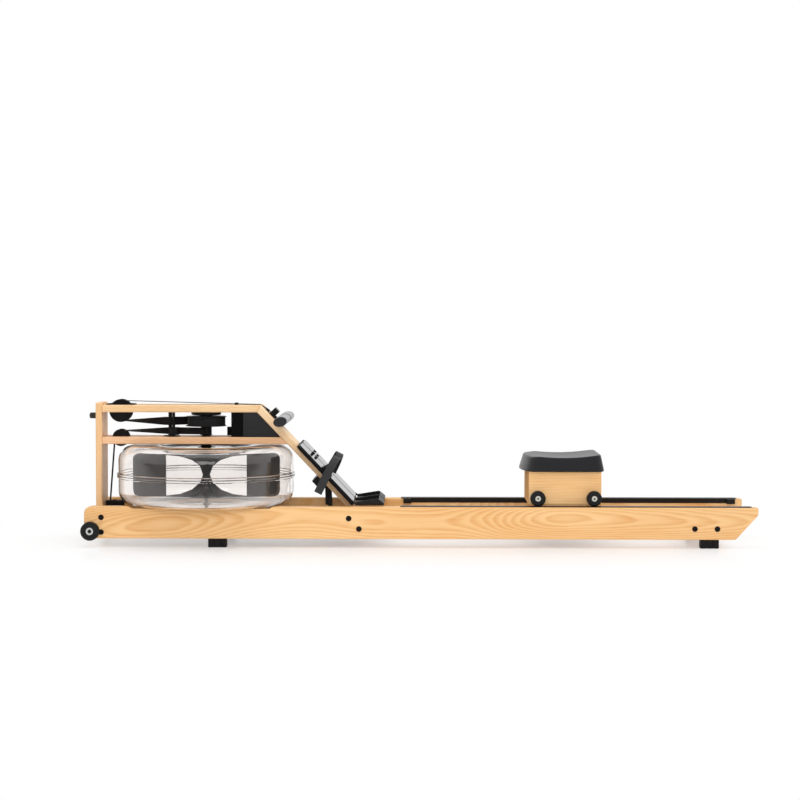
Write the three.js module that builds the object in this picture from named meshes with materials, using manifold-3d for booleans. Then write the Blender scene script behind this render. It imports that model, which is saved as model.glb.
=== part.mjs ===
// Water rowing machine: two wooden rails carry a tank with a paddle, an arch with the strap drive,
// a sloping footboard and a seat on wheels. Millimetres, +Z up, X along the machine with the tank
// at -X, Y across it. The origin is on the floor under the middle of the overall box.
import * as THREE from 'three';
import { mergeVertices } from 'three/addons/utils/BufferGeometryUtils.js';
import Module from 'manifold-3d';

const wasm = await Module();
wasm.setup();

const degree = Math.PI / 180;

// Clearances: faces that touch, pieces that turn or slide, and the overrun of a cut
const gap = 0.3;
const run = 0.6;
const overrun = 5;

// Facets of small and large round shapes, and steps of a rounded edge or corner
const smallRound = 12;
const midRound = 24;
const wheelRound = 20;
const largeRound = 36;
const edgeSteps = 1;
const arcSteps = 4;

// The tank, and the room left ahead of it, behind it and around it
const tank = {
  axisX: -672, radius: 277, wall: 4, flange: 4, flangeLow: 207, flangeHigh: 221, postClear: 44.6,
  cornerSetback: 111, gasket: 1, nestDepth: 7, nestClear: 3, nestRound: 12, cornerRadius: 50,
  cornerHeight: 46, sumpRadius: 100, sumpSlope: 30, sumpDrop: 11, top: 308, dishRadius: 130,
  dishSlope: 20, dishDrop: 14, gasketInset: 1.5, bossRadius: 16, bossHeight: 8, neckRadius: 28,
};
tank.inner = tank.radius - tank.wall;
tank.flangeRadius = tank.radius + tank.flange;
tank.nestRadius = tank.radius + tank.nestClear;
tank.joint = (tank.flangeLow + tank.flangeHigh) / 2;
tank.dish = tank.top - tank.dishDrop;

const arch = { width: 120, thickness: 22, under: 412, angle: 46.5 * degree, edge: 2.5 };
arch.innerCornerX = tank.axisX + tank.radius - tank.cornerSetback;
arch.top = arch.under + arch.thickness;
arch.sine = Math.sin(arch.angle);
arch.cosine = Math.cos(arch.angle);
// The outer face of the strut crosses the underside level of the top board here
arch.faceX = arch.innerCornerX + arch.thickness / arch.sine;

const post = { thickness: 19.8, bottom: 40, rise: 7 };
post.rear = tank.axisX - tank.radius - tank.postClear;
post.front = post.rear - post.thickness;
post.top = arch.top + post.rise;

const rail = {
  lead: 19.6, rear: 1047, bottom: 27, height: 99, thickness: 35, span: 340,
  frontRadius: 25, cornerRadius: 5, slantDrop: 23, slantRun: 69.5, edge: 2,
};
rail.front = post.front - rail.lead;
rail.top = rail.bottom + rail.height;
rail.outer = rail.span / 2;
rail.inner = rail.outer - rail.thickness;
rail.middle = (rail.outer + rail.inner) / 2;
tank.seat = rail.top - tank.nestDepth + gap;
tank.floor = tank.seat - tank.sumpDrop;

const deck = { under: 312, thickness: 22 };
deck.top = deck.under + deck.thickness;

const strut = { reach: 500 };

const brace = {
  thickness: 26, bottom: 30, top: 100, footThickness: 22, footWidth: 84, footCentre: 435,
  rearX: 887.5, rearWidth: 115, rearLevel: 60.6, rearThickness: 22, edge: 2,
};

const plug = { offset: 88, radius: 17, flange: 21, depth: 9, head: 4, grip: 9, rise: 9 };
const shaft = { radius: 6, tipGap: 2 };

const paddle = {
  tankClear: 44, low: 141, high: 284, thickness: 8, cornerRadius: 25, windowStart: 128,
  windowDepth: 117, rim: 4, hubRadius: 13, flareRadius: 44, flareDepth: 26, footFlareRadius: 52,
  footFlareDepth: 34, neckRadius: 5, rib: 3, ribWidth: 7, collarHeight: 9,
};
paddle.bladeRadius = tank.radius - paddle.tankClear;
const paddleRibShares = [0.18, 0.5, 0.82];

const reel = {
  radius: 64, low: 366.5, high: 397.3, flange: 2, coreRadius: 40, recoilRadius: 19.6,
  recoilLow: 338, recoilFlange: 1.8, recoilCore: 17.4,
};

const strap = {
  width: 26, thickness: 1.6, recoilWidth: 22, turns: 6, pitch: 2.2, stepsPerTurn: 20,
  twistSteps: 16, wrapSteps: 14, bendSteps: 3, runSteps: 6, twistShare: 0.93, windingInset: 3.3,
};

const bearing = {
  plateRadius: 47, plateHeight: 13, sleeveRadius: 14.6, sleeveRise: 3, neckRise: 6, foot: 8,
};

// The strap's pulleys stand behind the post, one above the other
const pulleyPlace = 52.6;
const upperPulley = {
  x: post.rear + pulleyPlace, z: 415, flangeRadius: 36, wrapRadius: 30.4, halfWidth: 17.5, flange: 2.4,
  journal: 4, journalReach: 4,
};
const lowerPulley = {
  x: post.rear + pulleyPlace, z: 329.5, flangeRadius: 27, wrapRadius: 20.8, halfWidth: 14.5, flange: 2,
  journal: 2.6, journalReach: 9,
};
// How far a pulley's groove tapers in below its flanges, as a share of the flange
const grooveShare = 1.5;
const pulleyBracket = { plate: 3, ear: 4, lip: 7, earDrop: 30, earHalf: 14, earRadius: 9 };

const guideFrame = {
  lead: 115, spacing: 14, frontRadius: 6, rearRadius: 4.6, baseRadius: 21, base: 2.4,
};
guideFrame.frontX = tank.axisX - guideFrame.lead;
guideFrame.rearX = guideFrame.frontX + guideFrame.spacing;
const guideRoller = { radius: 17, low: 339.4, high: 363, lip: 2 };

// Rollers in the corner of the arch, placed along the strut (down from the corner) and below its face
const upperRoller = { place: 2, z: 425, radius: 9, journal: 2.5 };
upperRoller.x = arch.innerCornerX + upperRoller.place;
const lowerRoller = { along: -4.5, depth: 4.5, radius: 9, journal: 2 };
const cornerSlot = { halfWidth: 17, reach: 14, journalReach: 9 };

const fairlead = { start: 6, reach: 19, height: 27, halfWidth: 21, mouth: 7.5, mouthStart: 1.6, edge: 2.5 };

const handle = {
  along: 50.9, stand: 20.6, span: 380, halfLong: 21.5, halfShort: 15.5, tilt: 13 * degree, capLength: 9,
  waistHalf: 16, waistDepth: 3, capShrink: 1, swell: 0.8, swellPlace: 70, yokeGap: 0.3, yokeWall: 2.2,
  yokeHalf: 14, tongueLength: 4.5, tongueHalf: 4, tongueShare: 0.8,
};

// The sensor box stands between the reel's rim and the corner of the arch
const box = {
  frontShare: 0.1863, rearShare: 0.5588, halfWidth: 45, tabLength: 16, tabLow: 337, tabHigh: 364, tabHalf: 12,
};
box.room = arch.innerCornerX - tank.axisX - reel.radius;
box.front = arch.innerCornerX - (1 - box.frontShare) * box.room;
box.rear = arch.innerCornerX - (1 - box.rearShare) * box.room;
const panel = { thickness: 3, inset: 3 };

const bumper = { radius: 9.5, reach: 27.5, z: 399, edge: 2.5, stem: 5, stemRadius: 5 };

const cord = { radius: 2.7, sides: 8, topZ: 315.5 };
const cordPulley = {
  place: 29.6, z: 117.5, wrapRadius: 11, flangeRadius: 14.5, halfWidth: 5.4, flange: 1.4, journal: 2.5,
  journalReach: 4,
};
cordPulley.x = post.rear + cordPulley.place;
const cordBracket = {
  place: 3.6, reach: 56, top: 130, halfWidth: 13, slotHalf: 6, slotInset: 6, edge: 1.5,
};
cordBracket.front = post.rear + cordBracket.place;
cordBracket.rear = cordBracket.front + cordBracket.reach;
cordBracket.slotFront = cordBracket.front + cordBracket.slotInset;

const foot = {
  frontPlace: 51, rearX: 898, reach: 57, width: 34, lobes: 3, waist: 2.6, edge: 1.2,
};
foot.frontX = tank.axisX + foot.frontPlace;
const wheel = {
  place: 20.5, z: 50.7, radius: 29, width: 22, hubRadius: 12, hubDepth: 2.5, crown: 5, journal: 6,
  journalReach: 20,
};
wheel.x = rail.front + wheel.place;

const track = {
  frontClear: 51, rear: 1029, skin: 1.7, skinWidth: 33, flangeDrop: 14, flange: 3, flangeEnd: 8,
  stopLength: 25, stopDepth: 20, stopHeight: 15, endRadius: 10,
};

const seatBox = {
  front: 342.4, rear: 567.6, halfWidth: 125, bottom: 130.5, top: 234, wall: 18, plate: 14, edge: 2,
  cleatInset: 12.5, cleatHalf: 120, cleatDrop: 20, cleatWall: 14, cleatSink: 6,
};
const seatWheel = {
  frontX: 369.6, rearX: 543.6, radius: 23.5, inner: 133, width: 25, hubRadius: 11, hubDepth: 1.6, crown: 3,
  journal: 4.2,
};
const seatPad = {
  front: 343.5, rear: 577, halfWidth: 145, height: 54, flare: 9, lean: 1.5, rearRise: 4, hollow: 14,
  frontDrop: 15, frontPeakShare: 0.17, frontSwell: 25, cornerRadius: 20, edgeRound: 6,
  hollowFadeShare: 0.4, footShare: 0.1, bellyShare: 0.55, bellyFlareShare: 0.5, shoulderShare: 0.88,
};
const padSteps = { along: 16, across: 12 };

const board = {
  start: 141, stop: 391.5, thickness: 9, halfWidth: 150, cornerRadius: 22, edge: 1.5,
};
const plate = { start: 146, stop: 386, thickness: 3, inner: 7, outer: 141, edge: 0.8, endRadius: 14 };
const cup = {
  place: 306, reach: 93, bottom: 128.8, floor: 4, wall: 4, peakInset: 19, peak: 150, rearHeight: 135,
  frontHeight: 139, toeLead: 12, toe: 150, corner: 2.5,
};
cup.front = arch.innerCornerX + cup.place;
cup.rear = cup.front + cup.reach;
cup.peakX = cup.rear - cup.peakInset;
cup.toeX = cup.front - cup.toeLead;
track.front = cup.rear + track.frontClear;
const knob = { first: 193, second: 209, radius: 4.5, height: 11, capHeight: 3, place: 34 };
const crossBar = { along: 265, depth: 22, reach: 24, halfWidth: 78, edge: 1.5 };
const footStrap = {
  width: 42, thickness: 2.2, along: 264, outer: 156, inner: 26, rise: 66, lean: 20 * degree, archShare: 0.75,
  tail: 66, farTail: 114, farShift: 49, tuck: 122, tuckDepth: 50, tuckShift: 14, edgeDepth: 20, steps: 14,
};

const finish = {
  wood: { color: 0xefc48b, roughness: 0.5, metalness: 0 },
  deckWood: { color: 0xe3b083, roughness: 0.5, metalness: 0 },
  clear: { color: 0xe6dad5, roughness: 0.1, metalness: 0, transparent: true, opacity: 0.35 },
  smoked: { color: 0x5f5d5b, roughness: 0.35, metalness: 0 },
  black: { color: 0x1e1e1e, roughness: 0.5, metalness: 0 },
  charcoal: { color: 0x37373a, roughness: 0.7, metalness: 0 },
  rubber: { color: 0x161616, roughness: 0.8, metalness: 0 },
  webbing: { color: 0x242424, roughness: 0.9, metalness: 0 },
  steel: { color: 0xb9b9bb, roughness: 0.3, metalness: 1 },
  grip: { color: 0xa9a9ac, roughness: 0.4, metalness: 0 },
  foam: { color: 0x343436, roughness: 0.6, metalness: 0 },
  gloss: { color: 0x202022, roughness: 0.15, metalness: 0 },
};
const materials = {};
for (const [name, look] of Object.entries(finish)) materials[name] = new THREE.MeshStandardMaterial(look);

// A closed body that manifold-3d can cut and join
function bodyOf(geometry) {
  const bare = geometry.index ? geometry.toNonIndexed() : geometry.clone();
  bare.deleteAttribute('normal');
  bare.deleteAttribute('uv');
  const merged = mergeVertices(bare);
  const kept = [];
  const corners = merged.index.array;
  for (let i = 0; i < corners.length; i += 3) {
    const [a, b, c] = corners.slice(i, i + 3);
    if (a !== b && b !== c && c !== a) kept.push(a, b, c);
  }
  const vertProperties = new Float32Array(merged.attributes.position.array);
  return new wasm.Manifold(new wasm.Mesh({ numProp: 3, vertProperties, triVerts: new Uint32Array(kept) }));
}

function geometryOf(body) {
  const mesh = body.getMesh();
  const geometry = new THREE.BufferGeometry();
  geometry.setAttribute('position', new THREE.BufferAttribute(mesh.vertProperties, 3));
  geometry.setIndex(new THREE.BufferAttribute(mesh.triVerts, 1));
  geometry.computeVertexNormals();
  return geometry;
}

function cut(geometry, ...tools) {
  return geometryOf(tools.reduce((body, tool) => body.subtract(bodyOf(tool)), bodyOf(geometry)));
}

function join(geometry, ...others) {
  return geometryOf(others.reduce((body, other) => body.add(bodyOf(other)), bodyOf(geometry)));
}

// An outline with rounded corners: each point is [x, y] or [x, y, radius]
function outline(points) {
  const shape = new THREE.Shape();
  points.forEach(([x, y, radius = 0], i) => {
    const corner = new THREE.Vector2(x, y);
    const [beforeX, beforeY] = points[(i + points.length - 1) % points.length];
    const [afterX, afterY] = points[(i + 1) % points.length];
    const inward = new THREE.Vector2(beforeX, beforeY).sub(corner).setLength(radius).add(corner);
    const outward = new THREE.Vector2(afterX, afterY).sub(corner).setLength(radius).add(corner);
    if (i === 0) shape.moveTo(inward.x, inward.y);
    else shape.lineTo(inward.x, inward.y);
    if (radius > 0) shape.quadraticCurveTo(x, y, outward.x, outward.y);
  });
  shape.closePath();
  return shape;
}

// A slab with rounded edges, its outline in X and Y, its thickness centred on Z
function slab(shape, thickness, edge = 0, steps = arcSteps) {
  return new THREE.ExtrudeGeometry(shape, {
    depth: thickness - 2 * edge, bevelEnabled: edge > 0, bevelThickness: edge, bevelSize: edge,
    bevelOffset: -edge, bevelSegments: edgeSteps, curveSegments: steps,
  }).translate(0, 0, edge - thickness / 2);
}

// The same slab with its outline in X and Z, its thickness centred on Y
function uprightSlab(shape, thickness, edge = 0, steps = arcSteps) {
  return slab(shape, thickness, edge, steps).rotateX(Math.PI / 2);
}

// A block between two corners, with rounded edges along Y where an edge is given
function block(low, high, edge = 0) {
  const size = high.map((value, i) => value - low[i]);
  const middle = high.map((value, i) => (value + low[i]) / 2);
  const [halfX, , halfZ] = size.map((value) => value / 2);
  const corners = [[-halfX, -halfZ], [halfX, -halfZ], [halfX, halfZ], [-halfX, halfZ]];
  return uprightSlab(outline(corners), size[1], edge).translate(...middle);
}

// A round body from a profile of [radius, height] that ends on the axis, along Z or along Y
function turned(profile, facets = midRound) {
  const line = profile.map(([r, z]) => new THREE.Vector2(r, z));
  return new THREE.LatheGeometry(line, facets).rotateX(Math.PI / 2);
}

function turnedAcross(profile, facets = midRound) {
  return new THREE.LatheGeometry(profile.map(([r, y]) => new THREE.Vector2(r, y)), facets);
}

function rod(radius, low, high, facets = smallRound) {
  return turned([[0, low], [radius, low], [radius, high], [0, high]], facets);
}

function rodAcross(radius, low, high, facets = smallRound) {
  return turnedAcross([[0, low], [radius, low], [radius, high], [0, high]], facets);
}

// A quarter of an ellipse as points, from one angle to another
function arcPoints(centreR, centreZ, radiusR, radiusZ, from, to, steps = arcSteps) {
  return Array.from({ length: steps + 1 }, (_, i) => {
    const angle = from + ((to - from) * i) / steps;
    return [centreR + radiusR * Math.cos(angle), centreZ + radiusZ * Math.sin(angle)];
  });
}

// A flat strap lofted along a path whose points each hold a centre and the way across the strap there
function strapSolid(path, width, thickness) {
  const vertices = [];
  const corners = [[-1, -1], [1, -1], [1, 1], [-1, 1]];
  path.forEach(({ centre, across }, i) => {
    const before = path[Math.max(i - 1, 0)].centre;
    const after = path[Math.min(i + 1, path.length - 1)].centre;
    const through = after.clone().sub(before).cross(across).normalize();
    for (const [a, b] of corners) {
      const point = centre.clone().addScaledVector(across, (a * width) / 2);
      point.addScaledVector(through, (b * thickness) / 2);
      vertices.push(point.x, point.y, point.z);
    }
  });
  return outwards(loftedRings(vertices, path.length, corners.length));
}

// Joins rings of vertices, each with the same number of sides, into one closed tube. Opposite sides are
// split along the same diagonal, so that a thin strap that twists keeps its thickness.
function loftedRings(vertices, rings, sides) {
  const faces = [];
  for (let i = 0; i < rings - 1; i += 1) {
    for (let j = 0; j < sides; j += 1) {
      const a = i * sides + j;
      const b = i * sides + ((j + 1) % sides);
      if (j < sides / 2) faces.push(a, b, b + sides, a, b + sides, a + sides);
      else faces.push(a, b, a + sides, b, b + sides, a + sides);
    }
  }
  const last = (rings - 1) * sides;
  for (let j = 1; j < sides - 1; j += 1) faces.push(0, j + 1, j, last, last + j, last + j + 1);
  const geometry = new THREE.BufferGeometry();
  geometry.setAttribute('position', new THREE.Float32BufferAttribute(vertices, 3));
  geometry.setIndex(faces);
  return geometry;
}

// Turns the faces of a closed geometry outwards
function outwards(geometry) {
  const position = geometry.attributes.position;
  const index = geometry.index.array;
  const [a, b, c] = [new THREE.Vector3(), new THREE.Vector3(), new THREE.Vector3()];
  let volume = 0;
  for (let i = 0; i < index.length; i += 3) {
    a.fromBufferAttribute(position, index[i]);
    b.fromBufferAttribute(position, index[i + 1]);
    c.fromBufferAttribute(position, index[i + 2]);
    volume += a.dot(b.cross(c));
  }
  if (volume < 0) {
    for (let i = 0; i < index.length; i += 3) [index[i + 1], index[i + 2]] = [index[i + 2], index[i + 1]];
  }
  geometry.computeVertexNormals();
  return geometry;
}

const yAxis = new THREE.Vector3(0, 1, 0);
const zAxis = new THREE.Vector3(0, 0, 1);
const quarter = Math.PI / 2;

// A strap path that stays flat across Y, through points in X and Z
function flatPath(points) {
  return points.map(([x, z]) => ({ centre: new THREE.Vector3(x, 0, z), across: yAxis }));
}

// A strap path from a pulley to the reel: a quarter turn on the way to a guide post, round the post,
// then on to the side of the reel. The post's and the reel's radii reach to the strap's middle.
function pathToReel(startX, startZ, level, postX, postRadius, side, reelRadius) {
  const path = [];
  for (let i = 0; i < strap.twistSteps; i += 1) {
    const share = i / strap.twistSteps;
    const turn = quarter * THREE.MathUtils.smoothstep(share, 0, strap.twistShare);
    const centre = new THREE.Vector3(startX + (postX - startX) * share, 0, startZ + (level - startZ) * share);
    path.push({ centre, across: new THREE.Vector3(0, Math.cos(turn), Math.sin(turn)) });
  }
  const reach = tank.axisX - postX;
  const bend = Math.asin((reelRadius + postRadius) / Math.hypot(reach, postRadius))
    - Math.atan2(postRadius, reach);
  for (let i = 0; i <= strap.bendSteps; i += 1) {
    const angle = (bend * i) / strap.bendSteps;
    const centre = new THREE.Vector3(
      postX + postRadius * Math.sin(angle), side * postRadius * (1 - Math.cos(angle)), level);
    path.push({ centre, across: zAxis });
  }
  const end = new THREE.Vector3(
    tank.axisX - reelRadius * Math.sin(bend), side * reelRadius * Math.cos(bend), level);
  path.push({ centre: end, across: zAxis });
  return path;
}

const machine = new THREE.Group();
// Pieces on the strut: X runs down its slope, Z stands out of its outer face
const slope = new THREE.Group();
slope.position.set(arch.faceX, 0, arch.under);
slope.rotation.y = arch.angle;
machine.add(slope);

function add(name, geometry, material, parent = machine) {
  const mesh = new THREE.Mesh(geometry, material);
  mesh.name = name;
  parent.add(mesh);
  return mesh;
}

// From a place on the slope (along it, out of its face) to machine X and Z
function slopePoint(along, out) {
  return [
    arch.faceX + along * arch.cosine + out * arch.sine,
    arch.under - along * arch.sine + out * arch.cosine,
  ];
}

// From machine X and Z to a place on the slope
function slopePlace(x, z) {
  const [right, up] = [x - arch.faceX, z - arch.under];
  return [right * arch.cosine - up * arch.sine, right * arch.sine + up * arch.cosine];
}

// X on a line parallel to the strut's face, out from it by a distance, at a height
function slopeX(out, z) {
  const along = (arch.under + out * arch.cosine - z) / arch.sine;
  return slopePoint(along, out)[0];
}

function makeRails() {
  const shape = outline([
    [rail.front, rail.bottom, rail.cornerRadius],
    [rail.rear - rail.slantRun, rail.bottom, rail.cornerRadius],
    [rail.rear, rail.top - rail.slantDrop, rail.cornerRadius],
    [rail.rear, rail.top, rail.cornerRadius],
    [rail.front, rail.top, rail.frontRadius],
  ]);
  const nestFloor = rail.top - tank.nestDepth;
  const nest = turned([
    [0, nestFloor],
    ...arcPoints(tank.nestRadius - tank.nestRound, nestFloor + tank.nestRound, tank.nestRound, tank.nestRound,
      -Math.PI / 2, 0),
    [tank.nestRadius, rail.top + overrun], [0, rail.top + overrun],
  ], largeRound).translate(tank.axisX, 0, 0);
  for (const [name, side] of [['rail_left', -1], ['rail_right', 1]]) {
    const blank = uprightSlab(shape, rail.thickness, rail.edge).translate(0, side * rail.middle, 0);
    const bore = rodAcross(wheel.journal + run, -wheel.journalReach - gap, overrun)
      .scale(1, side, 1).translate(wheel.x, side * rail.outer, wheel.z);
    add(name, cut(blank, nest, outwardsOf(bore)), materials.wood);
  }
}

// A mirrored geometry with its faces turned outwards again
function outwardsOf(geometry) {
  const bare = geometry.clone();
  bare.deleteAttribute('normal');
  bare.deleteAttribute('uv');
  return outwards(mergeVertices(bare));
}

function makeBraces() {
  const half = rail.inner - gap;
  const frontFace = post.rear + gap;
  const frontBack = frontFace + brace.thickness;
  const front = block([frontFace, -half, brace.bottom], [frontBack, half, brace.top], brace.edge);
  add('front_cross_brace', front, materials.wood);
  const rear = block(
    [brace.rearX - brace.rearWidth / 2, -half, brace.rearLevel - brace.rearThickness / 2],
    [brace.rearX + brace.rearWidth / 2, half, brace.rearLevel + brace.rearThickness / 2], brace.edge);
  add('rear_cross_brace', rear, materials.wood);
  const top = -arch.thickness - gap;
  const footBrace = block(
    [brace.footCentre - brace.footWidth / 2, -half, top - brace.footThickness],
    [brace.footCentre + brace.footWidth / 2, half, top], brace.edge);
  add('foot_cross_brace', footBrace, materials.wood, slope);
}

// The slot in the corner of the arch where the strap runs over its two rollers
function cornerCut() {
  const [lowerX, lowerZ] = slopePoint(lowerRoller.along, -lowerRoller.depth);
  const reach = cornerSlot.reach;
  const shape = outline([
    [upperRoller.x - reach, arch.top + overrun], [upperRoller.x - reach, arch.under - overrun],
    [lowerX, arch.under - reach - arch.thickness], [lowerX + reach + arch.thickness, lowerZ - reach],
    [lowerX + reach + arch.thickness, arch.top + overrun],
  ]);
  return uprightSlab(shape, 2 * cornerSlot.halfWidth);
}

function makeArch() {
  const half = arch.width / 2;
  const postBlock = block([post.front, -half, post.bottom], [post.rear, half, post.top], arch.edge);
  add('front_post', postBlock, materials.wood);

  const mitreLow = -arch.thickness / Math.tan(arch.angle);
  const slot = cornerCut();
  const upperAxle = rodAcross(upperRoller.journal + run / 2, -journalEnd() - gap, journalEnd() + gap)
    .translate(upperRoller.x, 0, upperRoller.z);
  const topShape = outline([
    [post.rear + gap, arch.under], [arch.innerCornerX - gap, arch.under],
    [arch.faceX + mitreLow - gap, arch.top], [post.rear + gap, arch.top],
  ]);
  const slotReach = upperPulley.flangeRadius + run + gap;
  const pulleySlot = block(
    [upperPulley.x - slotReach, -earOuter() - gap, arch.under - overrun],
    [upperPulley.x + slotReach, earOuter() + gap, arch.top + overrun]);
  const topSlab = uprightSlab(topShape, arch.width, arch.edge);
  add('top_board', cut(topSlab, slot, upperAxle, pulleySlot), materials.wood);

  const strutShape = outline([
    [-arch.thickness / arch.sine, 0], [mitreLow, -arch.thickness],
    [strut.reach, -arch.thickness], [strut.reach, 0],
  ]);
  const slotOnSlope = slot.clone().translate(-arch.faceX, 0, -arch.under).rotateY(-arch.angle);
  const lowerAxle = rodAcross(lowerRoller.journal + run / 2, -journalEnd() - gap, journalEnd() + gap)
    .translate(lowerRoller.along, 0, -lowerRoller.depth);
  const strutBoard = cut(uprightSlab(strutShape, arch.width, arch.edge), slotOnSlope, lowerAxle);
  add('strut_board', strutBoard, materials.wood, slope);

  const deckEnd = -arch.thickness - gap;
  const deckShape = outline([
    [post.rear + gap, deck.under], [slopeX(deckEnd, deck.under), deck.under],
    [slopeX(deckEnd, deck.top), deck.top], [post.rear + gap, deck.top],
  ]);
  const deckSlotReach = lowerPulley.flangeRadius + gap + run;
  const deckSlot = block(
    [lowerPulley.x - deckSlotReach, -lowerPulley.halfWidth - run, deck.under - overrun],
    [lowerPulley.x + deckSlotReach, lowerPulley.halfWidth + run, deck.top + overrun]);
  const axleReach = lowerPulley.halfWidth + lowerPulley.journalReach + gap;
  const deckAxle = rodAcross(lowerPulley.journal + run / 2, -axleReach, axleReach)
    .translate(lowerPulley.x, 0, lowerPulley.z);
  const shaftHole = rod(bearing.sleeveRadius + gap, deck.under - overrun, deck.top + overrun, midRound)
    .translate(tank.axisX, 0, 0);
  const deckBoard = cut(uprightSlab(deckShape, arch.width, arch.edge), deckSlot, deckAxle, shaftHole);
  add('deck_board', deckBoard, materials.deckWood);
}

function journalEnd() {
  return cornerSlot.halfWidth + cornerSlot.journalReach;
}

function earOuter() {
  return upperPulley.halfWidth + run + pulleyBracket.ear;
}

function makeTank() {
  const { radius, inner, wall, cornerRadius, cornerHeight } = tank;
  const cornerR = radius - cornerRadius;
  const lowerCorner = tank.seat + cornerHeight;
  const upperCorner = tank.top - cornerHeight;
  const lowJoint = tank.joint - tank.gasket / 2 - gap;
  const highJoint = tank.joint + tank.gasket / 2 + gap;
  const sumpEdge = tank.sumpRadius + tank.sumpSlope;
  const lower = [
    [0, tank.floor], [tank.sumpRadius, tank.floor], [sumpEdge, tank.seat],
    ...arcPoints(cornerR, lowerCorner, cornerRadius, cornerHeight, -Math.PI / 2, 0),
    [radius, tank.flangeLow], [tank.flangeRadius, tank.flangeLow], [tank.flangeRadius, lowJoint],
    [inner, lowJoint],
    ...arcPoints(cornerR, lowerCorner, cornerRadius - wall, cornerHeight - wall, 0, -Math.PI / 2),
    [sumpEdge, tank.seat + wall], [tank.sumpRadius, tank.floor + wall],
    [tank.bossRadius, tank.floor + wall], [tank.bossRadius, tank.floor + wall + tank.bossHeight],
    [shaft.radius + run, tank.floor + wall + tank.bossHeight], [shaft.radius + run, tank.floor + wall],
    [0, tank.floor + wall],
  ];
  add('tank_lower_shell', turned(lower, largeRound).translate(tank.axisX, 0, 0), materials.clear);

  const dishEdge = tank.dishRadius + tank.dishSlope;
  const upper = [
    [tank.neckRadius, tank.dish - wall], [tank.dishRadius, tank.dish - wall], [dishEdge, tank.top - wall],
    ...arcPoints(cornerR, upperCorner, cornerRadius - wall, cornerHeight - wall, Math.PI / 2, 0),
    [inner, highJoint], [tank.flangeRadius, highJoint], [tank.flangeRadius, tank.flangeHigh],
    [radius, tank.flangeHigh],
    ...arcPoints(cornerR, upperCorner, cornerRadius, cornerHeight, 0, Math.PI / 2),
    [dishEdge, tank.top], [tank.dishRadius, tank.dish], [tank.neckRadius, tank.dish],
    [tank.neckRadius, tank.dish - wall],
  ];
  const plugHole = rod(plug.radius + gap, tank.dish - wall - overrun, tank.dish + overrun, midRound)
    .translate(plug.offset, 0, 0);
  const upperShell = cut(turned(upper, largeRound), plugHole).translate(tank.axisX, 0, 0);
  add('tank_upper_shell', upperShell, materials.clear);

  const gasketLow = tank.joint - tank.gasket / 2;
  const gasketHigh = tank.joint + tank.gasket / 2;
  const gasketOuter = tank.flangeRadius - tank.gasketInset;
  const gasket = turned([
    [inner, gasketLow], [gasketOuter, gasketLow], [gasketOuter, gasketHigh], [inner, gasketHigh],
    [inner, gasketLow],
  ], largeRound);
  add('tank_gasket', gasket.translate(tank.axisX, 0, 0), materials.charcoal);

  const plugBody = turned([
    [0, tank.dish - plug.depth], [plug.radius, tank.dish - plug.depth], [plug.radius, tank.dish + gap],
    [plug.flange, tank.dish + gap], [plug.flange, tank.dish + plug.head], [plug.grip, tank.dish + plug.head],
    [plug.grip, tank.dish + plug.rise], [0, tank.dish + plug.rise],
  ]);
  add('tank_fill_plug', plugBody.translate(tank.axisX + plug.offset, 0, 0), materials.rubber);
}

function makePaddle() {
  const middle = (paddle.low + paddle.high) / 2;
  const height = paddle.high - paddle.low;
  const { bladeRadius, cornerRadius } = paddle;
  const shape = outline([
    [-bladeRadius, paddle.low, cornerRadius], [bladeRadius, paddle.low, cornerRadius],
    [bladeRadius, paddle.high, cornerRadius], [-bladeRadius, paddle.high, cornerRadius],
  ]);
  for (const side of [-1, 1]) {
    const points = arcPoints(paddle.windowStart, middle, paddle.windowDepth, height / 2 - paddle.rim,
      Math.PI / 2, (3 * Math.PI) / 2, 2 * arcSteps);
    const window = new THREE.Path();
    points.forEach(([x, z], i) => (i === 0 ? window.moveTo(side * x, z) : window.lineTo(side * x, z)));
    window.closePath();
    shape.holes.push(window);
  }
  const blade = uprightSlab(shape, paddle.thickness);
  const hub = turned([
    [0, paddle.low], [paddle.footFlareRadius, paddle.low],
    ...flareProfile(paddle.low, 1, paddle.footFlareRadius, paddle.footFlareDepth),
    ...flareProfile(paddle.high, -1, paddle.flareRadius, paddle.flareDepth).reverse(),
    [paddle.hubRadius, paddle.high], [paddle.hubRadius, paddle.high - paddle.collarHeight],
    [0, paddle.high - paddle.collarHeight],
  ]);
  const ribs = [];
  const panelWidth = bladeRadius - paddle.windowStart;
  for (const side of [-1, 1]) {
    for (const share of paddleRibShares) {
      const x = side * (paddle.windowStart + share * panelWidth);
      const reach = paddle.thickness / 2 + paddle.rib;
      ribs.push(block([x - paddle.ribWidth / 2, -reach, paddle.low + cornerRadius],
        [x + paddle.ribWidth / 2, reach, paddle.high - cornerRadius]));
    }
  }
  const bore = rod(shaft.radius + gap, paddle.low - overrun, paddle.high + overrun);
  const body = cut(join(blade, hub, ...ribs), bore);
  add('paddle', body.translate(tank.axisX, 0, 0), materials.smoked);

  const shaftBody = rod(shaft.radius, tank.floor + tank.wall + gap, arch.under - shaft.tipGap);
  add('paddle_shaft', shaftBody.translate(tank.axisX, 0, 0), materials.steel);
}

// The hub's profile from a wide flare at one end to the neck
function flareProfile(start, direction, radius, depth) {
  return Array.from({ length: arcSteps }, (_, i) => {
    const share = (i + 1) / arcSteps;
    const eased = (1 - share) * (1 - share);
    return [paddle.neckRadius + shaft.radius + (radius - paddle.neckRadius - shaft.radius) * eased,
      start + direction * share * depth];
  });
}

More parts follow.
